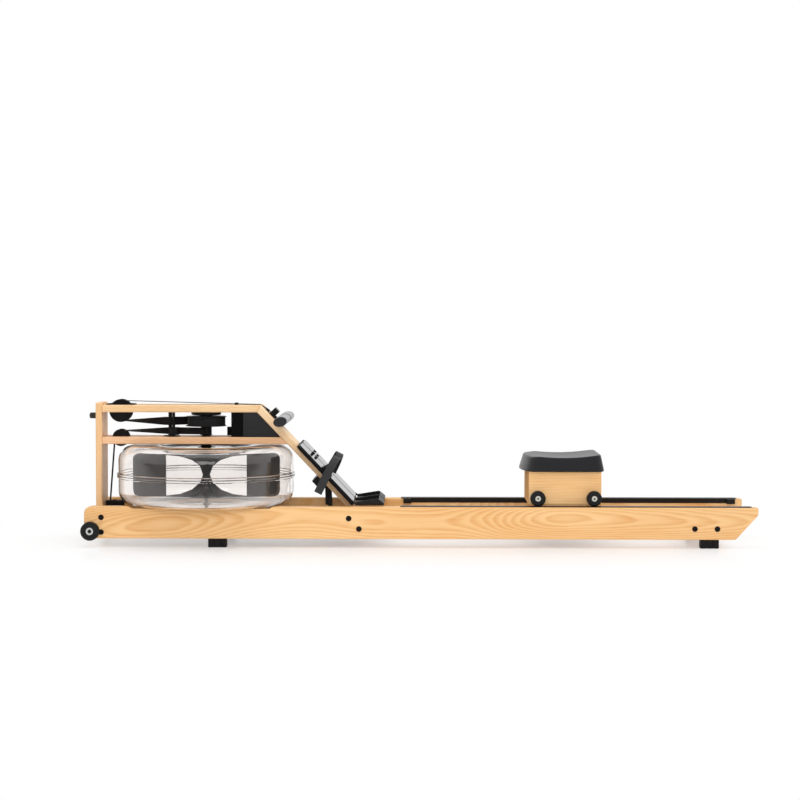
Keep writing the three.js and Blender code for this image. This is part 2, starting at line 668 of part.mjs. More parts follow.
function makeReel() {
  const bore = shaft.radius + run;
  const profile = [
    [bore, reel.recoilLow], [reel.recoilRadius, reel.recoilLow],
    [reel.recoilRadius, reel.recoilLow + reel.recoilFlange],
    [reel.recoilCore, reel.recoilLow + reel.recoilFlange],
    [reel.recoilCore, reel.low - reel.recoilFlange], [reel.recoilRadius, reel.low - reel.recoilFlange],
    [reel.recoilRadius, reel.low], [reel.radius, reel.low], [reel.radius, reel.low + reel.flange],
    [reel.coreRadius, reel.low + reel.flange], [reel.coreRadius, reel.high - reel.flange],
    [reel.radius, reel.high - reel.flange], [reel.radius, reel.high], [bore, reel.high],
    [bore, reel.recoilLow],
  ];
  add('strap_reel', turned(profile, midRound).translate(tank.axisX, 0, 0), materials.black);
  add('strap_winding', winding().translate(tank.axisX, 0, 0), materials.webbing);

  const plateTop = arch.under - gap;
  const plateLow = plateTop - bearing.plateHeight;
  const upperPlate = turned([
    [bore, plateLow], [bearing.plateRadius, plateLow], [bearing.plateRadius, plateTop], [bore, plateTop],
    [bore, plateLow],
  ]);
  add('upper_bearing', upperPlate.translate(tank.axisX, 0, 0), materials.black);

  const neck = tank.neckRadius - gap;
  const sleeve = turned([
    [bore, tank.dish - bearing.foot], [neck, tank.dish - bearing.foot], [neck, tank.dish + bearing.neckRise],
    [bearing.sleeveRadius, tank.dish + bearing.neckRise],
    [bearing.sleeveRadius, deck.top + bearing.sleeveRise],
    [bore, deck.top + bearing.sleeveRise], [bore, tank.dish - bearing.foot],
  ]);
  add('shaft_bearing', sleeve.translate(tank.axisX, 0, 0), materials.black);
}

// The strap wound on the reel: one unbroken spiral band that climbs outwards turn by turn
function winding() {
  const count = strap.turns * strap.stepsPerTurn;
  const outer = strapWindingRadius();
  const path = Array.from({ length: count + 1 }, (_, i) => {
    const angle = quarter - (i / strap.stepsPerTurn) * 2 * Math.PI;
    const radius = outer - strap.pitch * (i / strap.stepsPerTurn);
    const through = new THREE.Vector3(Math.cos(angle), Math.sin(angle), 0);
    const centre = through.multiplyScalar(radius).setZ((reel.low + reel.high) / 2);
    return { centre, across: zAxis };
  });
  const leastGap = strap.pitch * Math.cos(Math.PI / strap.stepsPerTurn) - strap.thickness;
  console.log(`strap winding: least gap between turns ${leastGap.toFixed(2)} mm`);
  return strapSolid(path, strap.width, strap.thickness);
}

function strapWindingRadius() {
  return reel.radius - strap.thickness / 2 - strap.windingInset;
}

// A flanged pulley with a journal at each end, along Y
function pulleySolid({ wrapRadius, flangeRadius, halfWidth, flange, journal, journalReach }, facets) {
  const half = [
    [0, halfWidth + journalReach], [journal, halfWidth + journalReach], [journal, halfWidth],
    [flangeRadius, halfWidth], [flangeRadius, halfWidth - flange],
    [wrapRadius, halfWidth - grooveShare * flange],
  ];
  return turnedAcross([...half.map(([r, y]) => [r, -y]), ...half.reverse()], facets);
}

function makePulleys() {
  add('upper_pulley', pulleySolid(upperPulley, midRound), materials.black)
    .position.set(upperPulley.x, 0, upperPulley.z);
  add('lower_pulley', pulleySolid(lowerPulley, midRound), materials.black)
    .position.set(lowerPulley.x, 0, lowerPulley.z);

  const { plate: sheet, lip, ear: earWall, earHalf, earRadius, earDrop } = pulleyBracket;
  const base = arch.top + gap;
  const hollowReach = upperPulley.flangeRadius + 2 * run;
  const hollowHalf = upperPulley.halfWidth + run;
  const ringReach = hollowReach + lip;
  const ringHalf = earOuter() + lip;
  const ring = cut(
    block([-ringReach, -ringHalf, base], [ringReach, ringHalf, base + sheet]),
    block([-hollowReach, -hollowHalf, base - overrun], [hollowReach, hollowHalf, base + sheet + overrun]));
  const ears = [-1, 1].map((side) => {
    const shape = outline([
      [-earHalf, base - earDrop, earRadius], [earHalf, base - earDrop, earRadius],
      [earHalf, base + sheet / 2], [-earHalf, base + sheet / 2],
    ]);
    return uprightSlab(shape, earWall).translate(0, side * (hollowHalf + earWall / 2), 0);
  });
  const axle = rodAcross(upperPulley.journal + run / 2, -ringHalf, ringHalf).translate(0, 0, upperPulley.z);
  add('pulley_bracket', cut(join(ring, ...ears), axle), materials.black).position.x = upperPulley.x;
}

function makeRollers() {
  const rollerProfile = ({ radius, journal }) => {
    const half = cornerSlot.halfWidth - run;
    return [
      [0, -journalEnd()], [journal, -journalEnd()], [journal, -half], [radius, -half], [radius, half],
      [journal, half], [journal, journalEnd()], [0, journalEnd()],
    ];
  };
  add('corner_roller_upper', turnedAcross(rollerProfile(upperRoller), smallRound), materials.black)
    .position.set(upperRoller.x, 0, upperRoller.z);
  add('corner_roller_lower', turnedAcross(rollerProfile(lowerRoller), smallRound), materials.black, slope)
    .position.set(lowerRoller.along, 0, -lowerRoller.depth);

  const shell = block([fairlead.start, -fairlead.halfWidth, gap],
    [fairlead.start + fairlead.reach, fairlead.halfWidth, fairlead.height], fairlead.edge);
  const mouthHalf = strap.width / 2 + 2 * run;
  const mouth = block([fairlead.start - overrun, -mouthHalf, fairlead.mouthStart],
    [fairlead.start + fairlead.reach + overrun, mouthHalf, fairlead.mouthStart + fairlead.mouth]);
  add('strap_fairlead', cut(shell, mouth), materials.gloss, slope);
}

// The strap's middle runs on Y = 0 up to the guides, so each guide stands beside it on its own side
function besideStrap(radius) {
  return radius + gap + strap.thickness / 2;
}

function makeGuideFrame() {
  const base = deck.top + gap;
  const top = arch.under - gap;
  const frontY = besideStrap(guideFrame.frontRadius);
  const rearY = -besideStrap(guideRoller.radius);
  const footFor = (radius, x, y) => rod(radius, base, base + guideFrame.base, midRound).translate(x, y, 0);
  const posts = [
    rod(guideFrame.frontRadius, base, top).translate(guideFrame.frontX, frontY, 0),
    rod(guideFrame.rearRadius, base, top).translate(guideFrame.rearX, rearY, 0),
    footFor(guideFrame.baseRadius, guideFrame.frontX, frontY),
  ];
  const body = join(footFor(guideFrame.baseRadius, guideFrame.rearX, rearY), ...posts);
  add('strap_guide_posts', body, materials.black);

  const bore = guideFrame.rearRadius + run;
  const { radius, low, high, lip } = guideRoller;
  const groove = strap.recoilWidth / 2 + run;
  const middle = (low + high) / 2;
  const roller = turned([
    [bore, low], [radius + lip, low], [radius, middle - groove], [radius, middle + groove],
    [radius + lip, high], [bore, high], [bore, low],
  ]);
  add('strap_guide_roller', roller.translate(guideFrame.rearX, rearY, 0), materials.black);
}

// Points of an arc in X and Z round a centre, by angles from +X towards +Z
function wrapPoints(x, z, radius, from, to, steps = strap.wrapSteps) {
  return Array.from({ length: steps + 1 }, (_, i) => {
    const angle = from + ((to - from) * i) / steps;
    return [x + radius * Math.cos(angle), z + radius * Math.sin(angle)];
  });
}

// The points between two ends of a straight run, without the ends
function runPoints([fromX, fromZ], [toX, toZ], steps) {
  return Array.from({ length: steps - 1 }, (_, i) => {
    const share = (i + 1) / steps;
    return [fromX + (toX - fromX) * share, fromZ + (toZ - fromZ) * share];
  });
}

// Down from the reel to the upper pulley, round it, along the top board and over the corner rollers
function makeDriveStrap() {
  const half = strap.thickness / 2 + gap;
  const wrap = upperPulley.wrapRadius + half;
  const windingOuter = strapWindingRadius() + strap.thickness + gap;
  const toReel = pathToReel(upperPulley.x, upperPulley.z - wrap, (reel.low + reel.high) / 2,
    guideFrame.frontX, besideStrap(guideFrame.frontRadius), 1, windingOuter);
  const upper = upperRoller.radius + half;
  const lower = lowerRoller.radius + half;
  const [lowerX, lowerZ] = slopePoint(lowerRoller.along, -lowerRoller.depth);
  const dip = Math.atan2(upperPulley.z + wrap - upperRoller.z - upper, upperRoller.x - upperPulley.x);
  const fall = Math.atan2(upperRoller.z + upper - lowerZ - lower, lowerX - upperRoller.x);
  const overPulley = wrapPoints(upperPulley.x, upperPulley.z, wrap, 3 * quarter, quarter - dip);
  const overUpper = wrapPoints(upperRoller.x, upperRoller.z, upper, quarter - dip, quarter - fall,
    strap.bendSteps);
  const overLower = wrapPoints(lowerX, lowerZ, lower, quarter - fall, quarter - arch.angle, strap.bendSteps);
  const along = runPoints(overPulley.at(-1), overUpper[0], strap.runSteps);
  const overArch = flatPath([...overPulley.slice(1), ...along, ...overUpper, ...overLower]);
  const path = [...toReel.reverse(), ...overArch];
  add('drive_strap', strapSolid(path, strap.width, strap.thickness), materials.webbing);

  const leadOut = lowerRoller.radius - lowerRoller.depth + half;
  const [tipAlong, tipOut] = tongueTip();
  const lead = strapSolid(
    flatPath([[lowerRoller.along + gap, leadOut], [tipAlong - gap, tipOut]]), strap.width, strap.thickness);
  add('drive_strap_lead', lead, materials.webbing, slope);
}

// From the recoil drum past the guide roller to the lower pulley, over it and down to the bungee cord
function makeRecoilStrap() {
  const wrap = lowerPulley.wrapRadius + strap.thickness / 2 + gap;
  const toReel = pathToReel(lowerPulley.x, lowerPulley.z + wrap, (guideRoller.low + guideRoller.high) / 2,
    guideFrame.rearX, besideStrap(guideRoller.radius), -1, reel.recoilCore + strap.thickness + gap);
  const overPulley = wrapPoints(lowerPulley.x, lowerPulley.z, wrap, quarter, 2 * quarter);
  const down = [lowerPulley.x - wrap, cord.topZ + gap];
  const path = [...toReel.reverse(), ...flatPath([...overPulley.slice(1), down])];
  add('recoil_strap', strapSolid(path, strap.recoilWidth, strap.thickness), materials.webbing);
}

// The tip of the handle's tongue on the slope, where the strap is sewn on
function tongueTip() {
  const along = handle.along - handle.halfLong - handle.yokeWall - handle.tongueLength;
  return [along, lowerRoller.radius - lowerRoller.depth + gap + strap.thickness / 2];
}

function makeHandle() {
  const half = handle.span / 2;
  const { waistHalf, waistDepth, halfLong, capLength, swell, swellPlace, capShrink } = handle;
  const bar = turnedAcross([
    [0, -half], [halfLong - capShrink - edgeOf(capLength), -half],
    [halfLong - capShrink, -half + edgeOf(capLength)],
    [halfLong - capShrink, -half + capLength], [halfLong, -half + capLength], [halfLong + swell, -swellPlace],
    [halfLong, -waistHalf], [halfLong - waistDepth, -waistHalf], [halfLong - waistDepth, waistHalf],
    [halfLong, waistHalf], [halfLong + swell, swellPlace], [halfLong, half - capLength],
    [halfLong - capShrink, half - capLength], [halfLong - capShrink, half - edgeOf(capLength)],
    [halfLong - capShrink - edgeOf(capLength), half], [0, half],
  ]).scale(1, 1, handle.halfShort / handle.halfLong).rotateY(-handle.tilt);
  const grip = add('handle_grip', bar, materials.grip);
  const [x, z] = slopePoint(handle.along, handle.stand);
  grip.position.set(x, 0, z);

  const inner = halfLong - waistDepth + handle.yokeGap;
  const outer = inner + handle.yokeWall;
  const short = handle.halfShort / handle.halfLong;
  const ovalRod = (radius, half) => turnedAcross([[0, -half], [radius, -half], [radius, half], [0, half]])
    .scale(1, 1, short);
  const ring = cut(ovalRod(outer, handle.yokeHalf), ovalRod(inner, waistHalf)).rotateY(-handle.tilt);
  // On the slope the oval turns back by the strut's angle
  const ringOnSlope = ring.rotateY(-arch.angle).translate(handle.along, 0, handle.stand);
  const [tipAlong, tipOut] = tongueTip();
  const tongueRoot = handle.along - inner * handle.tongueShare;
  const tongue = outline([
    [tipAlong, tipOut - handle.tongueHalf / 2], [tongueRoot, gap + handle.yokeWall / 2],
    [tongueRoot, tipOut + handle.tongueHalf], [tipAlong, tipOut + handle.tongueHalf / 2],
  ]);
  const tongueSlab = uprightSlab(tongue, 2 * handle.yokeHalf);
  const core = turnedAcross([[0, -waistHalf], [inner, -waistHalf], [inner, waistHalf], [0, waistHalf]])
    .scale(1, 1, short).rotateY(-handle.tilt - arch.angle).translate(handle.along, 0, handle.stand);
  add('handle_yoke', cut(join(ringOnSlope, tongueSlab), core), materials.black, slope);
}

function edgeOf(length) {
  return length / 3;
}

function makeHousing() {
  const low = deck.top + gap;
  const high = arch.under - gap;
  const body = block([box.front, -box.halfWidth, low], [box.rear, box.halfWidth, high], brace.edge);
  const tab = block([box.front - box.tabLength, -box.tabHalf, box.tabLow],
    [box.front + overrun, box.tabHalf, box.tabHigh], brace.edge);
  add('sensor_box', join(body, tab), materials.black);

  const lean = -arch.thickness - gap;
  const shape = outline([
    [box.rear + gap, low], [slopeX(lean, low) - gap, low], [slopeX(lean, high) - gap, high],
    [box.rear + gap, high],
  ]);
  const middle = arch.width / 2 - panel.inset - panel.thickness / 2;
  for (const [name, side] of [['side_panel_left', -1], ['side_panel_right', 1]]) {
    add(name, uprightSlab(shape, panel.thickness).translate(0, side * middle, 0), materials.charcoal);
  }
  const face = post.front - gap;
  const profile = [
    [0, 0], [bumper.radius, 0], [bumper.radius, bumper.reach - bumper.edge],
    [bumper.radius - bumper.edge, bumper.reach], [0, bumper.reach],
  ];
  const buffer = turned(profile, smallRound).rotateY(-Math.PI / 2);
  add('bumper', buffer, materials.rubber).position.set(face, 0, bumper.z);
}

function makeCord() {
  const wrap = cordPulley.wrapRadius + cord.radius + gap;
  const topX = lowerPulley.x - lowerPulley.wrapRadius - gap - strap.thickness / 2;
  const end = slopePoint(brace.footCentre, -arch.thickness - 2 * gap - brace.footThickness - cord.radius);
  const fall = Math.atan2(end[0] - cordPulley.x, cordPulley.z - wrap - end[1]);
  const turn = wrapPoints(cordPulley.x, cordPulley.z, wrap, 2 * quarter, 4 * quarter - fall);
  const points = [[topX, cord.topZ], ...turn, end];
  const vertices = [];
  points.forEach(([x, z], i) => {
    const before = points[Math.max(i - 1, 0)];
    const after = points[Math.min(i + 1, points.length - 1)];
    const through = new THREE.Vector3(after[0] - before[0], 0, after[1] - before[1]).cross(yAxis).normalize();
    for (let j = 0; j < cord.sides; j += 1) {
      const angle = ((j + 1 / 2) / cord.sides) * 2 * Math.PI;
      const point = new THREE.Vector3(x, cord.radius * Math.sin(angle), z);
      point.addScaledVector(through, cord.radius * Math.cos(angle));
      vertices.push(point.x, point.y, point.z);
    }
  });
  add('bungee_cord', outwards(loftedRings(vertices, points.length, cord.sides)), materials.rubber);
  add('bungee_pulley', pulleySolid(cordPulley, smallRound), materials.black)
    .position.set(cordPulley.x, 0, cordPulley.z);

  const low = brace.top + gap;
  const { front, rear, top, halfWidth, slotHalf, slotFront, edge } = cordBracket;
  const shell = block([front, -halfWidth, low], [rear, halfWidth, top], edge);
  const slot = block([slotFront, -slotHalf, low - overrun], [rear + overrun, slotHalf, top + overrun]);
  const boreHalf = cordPulley.halfWidth + cordPulley.journalReach + gap;
  const bore = rodAcross(cordPulley.journal + run / 2, -boreHalf, boreHalf)
    .translate(cordPulley.x, 0, cordPulley.z);
  add('bungee_bracket', cut(shell, slot, bore), materials.black);
}

function makeFeet() {
  const lobe = foot.reach / foot.lobes;
  const places = [['front', foot.frontX], ['rear', foot.rearX]];
  const sides = [['left', -1], ['right', 1]];
  const edgeLine = (side) => Array.from({ length: foot.lobes }, (_, i) => {
    const start = side * (-foot.reach / 2 + i * lobe);
    return [
      [start, side * (-foot.width / 2 + foot.waist)], [start + (side * lobe) / 4, (-side * foot.width) / 2],
      [start + (side * 3 * lobe) / 4, (-side * foot.width) / 2]];
  }).flat();
  const shape = outline([...edgeLine(1), [foot.reach / 2, -foot.width / 2 + foot.waist],
    ...edgeLine(-1), [-foot.reach / 2, foot.width / 2 - foot.waist]]);
  const height = rail.bottom - gap;
  for (const [end, x] of places) {
    for (const [hand, side] of sides) {
      const body = slab(shape, height, foot.edge).translate(x, side * rail.middle, height / 2);
      add(`rubber_foot_${end}_${hand}`, body, materials.rubber);
    }
  }
}

// A tyre on a hub with a stub axle, along +Y from its inner face
function wheelProfile({ radius, width, hubRadius, hubDepth, crown, journal }, reach) {
  return [
    [0, -reach], [journal, -reach], [journal, 0], [radius - crown, 0], [radius, crown],
    [radius, width - crown],
    [radius - crown, width], [hubRadius, width], [hubRadius, width - hubDepth], [0, width - hubDepth],
  ];
}

function makeTransportWheels() {
  for (const [hand, side] of [['left', -1], ['right', 1]]) {
    const body = turnedAcross(wheelProfile(wheel, wheel.journalReach), wheelRound)
      .rotateX(side < 0 ? Math.PI : 0);
    add(`transport_wheel_${hand}`, body, materials.rubber)
      .position.set(wheel.x, side * (rail.outer + run), wheel.z);
  }
}

function makeTracks() {
  const low = rail.top + gap;
  const high = low + track.skin;
  const length = track.rear - track.front;
  const middleX = (track.rear + track.front) / 2;
  for (const [hand, side] of [['left', -1], ['right', 1]]) {
    const inner = rail.inner - gap - track.flange;
    const skinShape = outline([
      [-length / 2, -track.skinWidth / 2, track.endRadius],
      [length / 2, -track.skinWidth / 2, track.endRadius],
      [length / 2, track.skinWidth / 2, track.endRadius], [-length / 2, track.skinWidth / 2, track.endRadius],
    ]);
    const skin = slab(skinShape, track.skin)
      .translate(middleX, side * (inner + track.skinWidth / 2), (low + high) / 2);
    const across = (from, to) => [Math.min(side * from, side * to), Math.max(side * from, side * to)];
    const [flangeLow, flangeHigh] = across(inner, inner + track.flange);
    const from = track.front + track.flangeEnd;
    const to = track.rear - track.flangeEnd;
    const flange = block([from, flangeLow, high - track.flangeDrop - track.skin], [to, flangeHigh, high]);
    const [stopLow, stopHigh] = across(inner - track.stopDepth + track.flange, inner + track.flange / 2);
    const stopTop = high - track.skin - gap;
    const stops = [from, to - track.stopLength].map((x) => block(
      [x, stopLow, stopTop - track.stopHeight], [x + track.stopLength, stopHigh, stopTop]));
    add(`seat_track_${hand}`, join(skin, flange, ...stops), materials.black);
  }
}

function makeSeat() {
  const { front, rear, halfWidth, bottom, top, wall, plate: lid, edge } = seatBox;
  const shell = block([front, -halfWidth, bottom], [rear, halfWidth, top], edge);
  const hollow = block([front + wall, -halfWidth + wall, bottom - overrun],
    [rear - wall, halfWidth - wall, top - lid]);
  const cleatOuter = block([front + seatBox.cleatInset, -seatBox.cleatHalf, bottom - seatBox.cleatDrop],
    [rear - seatBox.cleatInset, seatBox.cleatHalf, bottom + seatBox.cleatSink]);
  const cleatInner = block(
    [front + seatBox.cleatInset + seatBox.cleatWall, -seatBox.cleatHalf + seatBox.cleatWall,
      bottom - seatBox.cleatDrop - overrun],
    [rear - seatBox.cleatInset - seatBox.cleatWall, seatBox.cleatHalf - seatBox.cleatWall,
      bottom + seatBox.cleatSink + overrun]);
  const cleat = cut(cleatOuter, cleatInner);
  const wheelZ = rail.top + gap + track.skin + seatWheel.radius + gap / 2;
  const bores = [seatWheel.frontX, seatWheel.rearX].map((x) => rodAcross(
    seatWheel.journal + run / 2, -halfWidth - overrun, halfWidth + overrun).translate(x, 0, wheelZ));
  add('seat_box', cut(join(cut(shell, hollow), cleat), ...bores), materials.wood);

  const reach = seatWheel.inner - halfWidth + wall - overrun;
  for (const [end, x] of [['front', seatWheel.frontX], ['rear', seatWheel.rearX]]) {
    for (const [hand, side] of [['left', -1], ['right', 1]]) {
      const body = turnedAcross(wheelProfile(seatWheel, reach), wheelRound).rotateX(side < 0 ? Math.PI : 0);
      add(`seat_wheel_${end}_${hand}`, body, materials.rubber)
        .position.set(x, side * seatWheel.inner, wheelZ);
    }
  }
  add('seat_pad', padGeometry(), materials.foam);
}

// Height of the pad's top: a saddle that dips across the middle, rises to the rear and droops in front
function padTop(alongShare, acrossShare) {
  const side = acrossShare * acrossShare;
  const rise = seatPad.rearRise * alongShare;
  const hollow = seatPad.hollow * Math.sin(Math.PI * alongShare) * (1 - seatPad.hollowFadeShare * side);
  const nose = Math.max(0, seatPad.frontPeakShare - alongShare) / seatPad.frontPeakShare;
  return seatPad.height - seatPad.rearRise + rise - hollow - seatPad.frontDrop * nose * nose * side;
}

// The moulded seat pad: rings of a rounded rectangle that swell at the sides, closed by the saddle
function padGeometry() {
  const { front, rear, halfWidth, cornerRadius, edgeRound } = seatPad;
  const base = seatBox.top + gap;
  const halfLength = (rear - front) / 2;
  const middleX = (rear + front) / 2;
  const columns = padSteps.along;
  const rows = padSteps.across;
  const vertices = [];
  const faces = [];
  // Squeezes a square grid towards a rounded rectangle
  const place = (u, v, inset) => {
    const limitX = halfLength - inset;
    const limitY = halfWidth - inset;
    let x = u * limitX;
    let y = v * limitY;
    const radius = cornerRadius - inset / 2;
    const overX = Math.abs(x) - (limitX - radius);
    const overY = Math.abs(y) - (limitY - radius);
    if (overX > 0 && overY > 0) {
      const reach = Math.hypot(overX, overY);
      const allowed = Math.max(overX, overY);
      x = Math.sign(x) * (limitX - radius + (overX * allowed) / reach);
      y = Math.sign(y) * (limitY - radius + (overY * allowed) / reach);
    }
    return [x, y];
  };
  // The front swells ahead of its corners by a square law, along and across
  const swollen = (x, y) => {
    const ahead = Math.max(0, -x) / halfLength;
    const beside = y / halfWidth;
    return x - seatPad.frontSwell * ahead * ahead * (1 - beside * beside);
  };
  const grid = (heightOf, inset) => {
    const start = vertices.length / 3;
    for (let i = 0; i <= columns; i += 1) {
      for (let j = 0; j <= rows; j += 1) {
        const u = (2 * i) / columns - 1;
        const v = (2 * j) / rows - 1;
        const [x, y] = place(u, v, inset);
        vertices.push(middleX + swollen(x, y), y, heightOf((x / halfLength + 1) / 2, y / halfWidth));
      }
    }
    return start;
  };
  const topStart = grid((a, b) => base + padTop(a, b), seatPad.flare + edgeRound / 2);
  const bottomStart = grid(() => base, seatPad.lean);
  const at = (start, i, j) => start + i * (rows + 1) + j;
  for (let i = 0; i < columns; i += 1) {
    for (let j = 0; j < rows; j += 1) {
      faces.push(at(topStart, i, j), at(topStart, i + 1, j), at(topStart, i + 1, j + 1));
      faces.push(at(topStart, i, j), at(topStart, i + 1, j + 1), at(topStart, i, j + 1));
      faces.push(at(bottomStart, i, j), at(bottomStart, i + 1, j + 1), at(bottomStart, i + 1, j));
      faces.push(at(bottomStart, i, j), at(bottomStart, i, j + 1), at(bottomStart, i + 1, j + 1));
    }
  }
  const border = [];
  for (let i = 0; i < columns; i += 1) border.push([i, 0]);
  for (let j = 0; j < rows; j += 1) border.push([columns, j]);
  for (let i = columns; i > 0; i -= 1) border.push([i, rows]);
  for (let j = rows; j > 0; j -= 1) border.push([0, j]);
  // Side rings between the bottom and the top edge: flared foot, flat side, rounded shoulder
  const rings = [
    [seatPad.footShare, 0], [seatPad.bellyShare, seatPad.bellyFlareShare * seatPad.flare],
    [seatPad.shoulderShare, seatPad.flare],
  ];
  const ringStarts = rings.map(([share, inset]) => {
    const start = vertices.length / 3;
    for (const [i, j] of border) {
      const u = (2 * i) / columns - 1;
      const v = (2 * j) / rows - 1;
      const [x, y] = place(u, v, inset);
      const height = padTop((x / halfLength + 1) / 2, y / halfWidth);
      vertices.push(middleX + swollen(x, y), y, base + share * height);
    }
    return start;
  });
  const count = border.length;
  const loops = [
    border.map(([i, j]) => at(bottomStart, i, j)),
    ...ringStarts.map((start) => border.map((_, k) => start + k)),
    border.map(([i, j]) => at(topStart, i, j)),
  ];
  for (let ring = 0; ring < loops.length - 1; ring += 1) {
    for (let k = 0; k < count; k += 1) {
      const next = (k + 1) % count;
      faces.push(loops[ring][k], loops[ring][next], loops[ring + 1][next]);
      faces.push(loops[ring][k], loops[ring + 1][next], loops[ring + 1][k]);
    }
  }
  const geometry = new THREE.BufferGeometry();
  geometry.setAttribute('position', new THREE.Float32BufferAttribute(vertices, 3));
  geometry.setIndex(faces);
  return outwards(geometry);
}

function makeFootboard() {
  const shape = outline([
    [board.start, -board.halfWidth, board.cornerRadius], [board.stop, -board.halfWidth],
    [board.stop, board.halfWidth], [board.start, board.halfWidth, board.cornerRadius],
  ]);
  const body = slab(shape, board.thickness, board.edge).translate(0, 0, gap + board.thickness / 2);
  add('footboard', body, materials.black, slope);

  const low = gap + board.thickness + gap;
  for (const [hand, side] of [['left', -1], ['right', 1]]) {
    add(`heel_rest_${hand}`, heelRest(side, low), materials.gloss, slope);
    add(`foot_strap_${hand}`, footStrapSolid(side), materials.webbing, slope);
  }
  const barTop = -arch.thickness - gap;
  const bar = block([crossBar.along - crossBar.reach / 2, -crossBar.halfWidth, barTop - crossBar.depth],
    [crossBar.along + crossBar.reach / 2, crossBar.halfWidth, barTop], crossBar.edge);
  add('foot_cross_bar', bar, materials.black, slope);
}

// A glossy footplate that slides on the footboard, with a cup for the heel at its foot
function heelRest(side, low) {
  const middle = (side * (plate.inner + plate.outer)) / 2;
  const width = plate.outer - plate.inner;
  const shape = outline([
    [plate.start, -width / 2, plate.endRadius], [plate.stop, -width / 2],
    [plate.stop, width / 2], [plate.start, width / 2, plate.endRadius],
  ]);
  const flat = slab(shape, plate.thickness, plate.edge).translate(0, middle, low + plate.thickness / 2);
  const toSlope = (points) => points.map(([x, z, radius]) => [...slopePlace(x, z), radius]);
  const cupSide = toSlope([
    [cup.toeX, cup.toe], [cup.front + cup.wall, cup.bottom], [cup.rear, cup.bottom, cup.corner],
    [cup.rear, cup.rearHeight, cup.corner], [cup.peakX, cup.peak, cup.wall],
    [cup.front + cup.floor, cup.frontHeight],
  ]);
  const cupHollow = toSlope([
    [cup.toeX + 2 * cup.wall, cup.bottom + cup.floor], [cup.peakX, cup.bottom + cup.floor, cup.wall],
    [cup.peakX + cup.wall, cup.peak + overrun], [cup.toeX + 2 * cup.wall, cup.peak + 2 * overrun],
  ]);
  const solidCup = uprightSlab(outline(cupSide), width, plate.edge).translate(0, middle, 0);
  const hollow = uprightSlab(outline(cupHollow), width - 2 * cup.wall).translate(0, middle, 0);
  const [cupEnd] = slopePlace(cup.rear, cup.bottom);
  const clear = block([plate.start, -board.halfWidth, -cupEnd], [cupEnd + overrun, board.halfWidth, low]);
  const knobY = middle - side * knob.place;
  const knobs = [[knob.first, knob.height], [knob.second, knob.height - knob.capHeight]]
    .map(([along, rise]) => rod(knob.radius, low, low + rise).translate(along, knobY, 0));
  return join(cut(solidCup, hollow, clear), flat, ...knobs);
}

// A webbing strap that arches over the foot. The left one's tail hangs outside the footboard, and the
// right one's is tucked in behind it.
function footStrapSolid(side) {
  const base = gap + board.thickness + gap + plate.thickness + gap;
  const { outer, inner, rise, lean, steps, tuck } = footStrap;
  const middle = (outer + inner) / 2;
  const reach = (outer - inner) / 2;
  const rises = new THREE.Vector3(-Math.sin(lean), 0, Math.cos(lean));
  const across = new THREE.Vector3(Math.cos(lean), 0, Math.sin(lean));
  const origin = new THREE.Vector3(footStrap.along, 0, base);
  const free = [[outer, -footStrap.tail, 0]];
  const tucked = [
    [tuck, -footStrap.farTail, footStrap.farShift], [tuck, -footStrap.tuckDepth, footStrap.tuckShift],
    [outer, -footStrap.edgeDepth, 0],
  ];
  // The strap leans, so its lower edge reaches the footplate while its middle is still above it
  const landing = (footStrap.width / 2) * Math.tan(lean);
  const over = Array.from({ length: steps + 1 }, (_, i) => {
    const angle = (Math.PI * i) / steps;
    const least = i > steps / 2 ? landing : 0;
    const up = Math.max(rise * Math.sin(angle) ** footStrap.archShare, least);
    return [middle + reach * Math.cos(angle), up, 0];
  });
  const places = [...(side < 0 ? free : tucked), ...over].map(([y, up, shift]) => ({
    centre: origin.clone().addScaledVector(rises, up).addScaledVector(across, shift).setY(side * y),
    across,
  }));
  return strapSolid(places, footStrap.width, footStrap.thickness);
}

makeRails();
makeBraces();
makeArch();
makeTank();
makePaddle();
makeReel();
makePulleys();
makeRollers();
makeGuideFrame();
makeDriveStrap();
makeRecoilStrap();
makeHandle();
makeHousing();
makeCord();
makeFeet();
makeTransportWheels();
makeTracks();
makeSeat();
makeFootboard();

// The origin lies under the middle of the machine's length
machine.position.x = -(wheel.x - wheel.radius + rail.rear) / 2;
const part = new THREE.Group();
part.add(machine);
export default part;
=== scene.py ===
import bmesh
import bpy
import numpy as np
from mathutils import Matrix, Vector


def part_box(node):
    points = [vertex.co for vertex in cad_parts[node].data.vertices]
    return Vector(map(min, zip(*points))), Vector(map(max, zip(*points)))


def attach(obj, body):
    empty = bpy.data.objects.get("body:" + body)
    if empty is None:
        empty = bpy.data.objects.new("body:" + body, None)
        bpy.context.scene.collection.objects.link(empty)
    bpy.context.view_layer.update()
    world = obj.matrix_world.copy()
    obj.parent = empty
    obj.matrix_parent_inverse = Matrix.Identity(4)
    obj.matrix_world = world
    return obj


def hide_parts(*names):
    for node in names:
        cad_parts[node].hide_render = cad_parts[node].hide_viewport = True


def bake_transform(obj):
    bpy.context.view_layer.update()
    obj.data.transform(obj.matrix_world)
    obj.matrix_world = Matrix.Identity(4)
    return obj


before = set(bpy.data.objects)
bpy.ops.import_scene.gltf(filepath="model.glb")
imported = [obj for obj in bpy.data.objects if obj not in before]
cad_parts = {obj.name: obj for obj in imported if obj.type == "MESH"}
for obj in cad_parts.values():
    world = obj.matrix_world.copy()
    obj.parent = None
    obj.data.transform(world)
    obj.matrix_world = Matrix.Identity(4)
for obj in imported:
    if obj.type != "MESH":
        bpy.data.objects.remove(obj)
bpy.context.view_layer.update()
mm, gap = 0.001, 0.3

# The view and the light. The photograph is taken from about 6 m, 0.7 m above the floor, through a long
# lens that looks slightly down and left. The studio is white all round, with soft light from above.


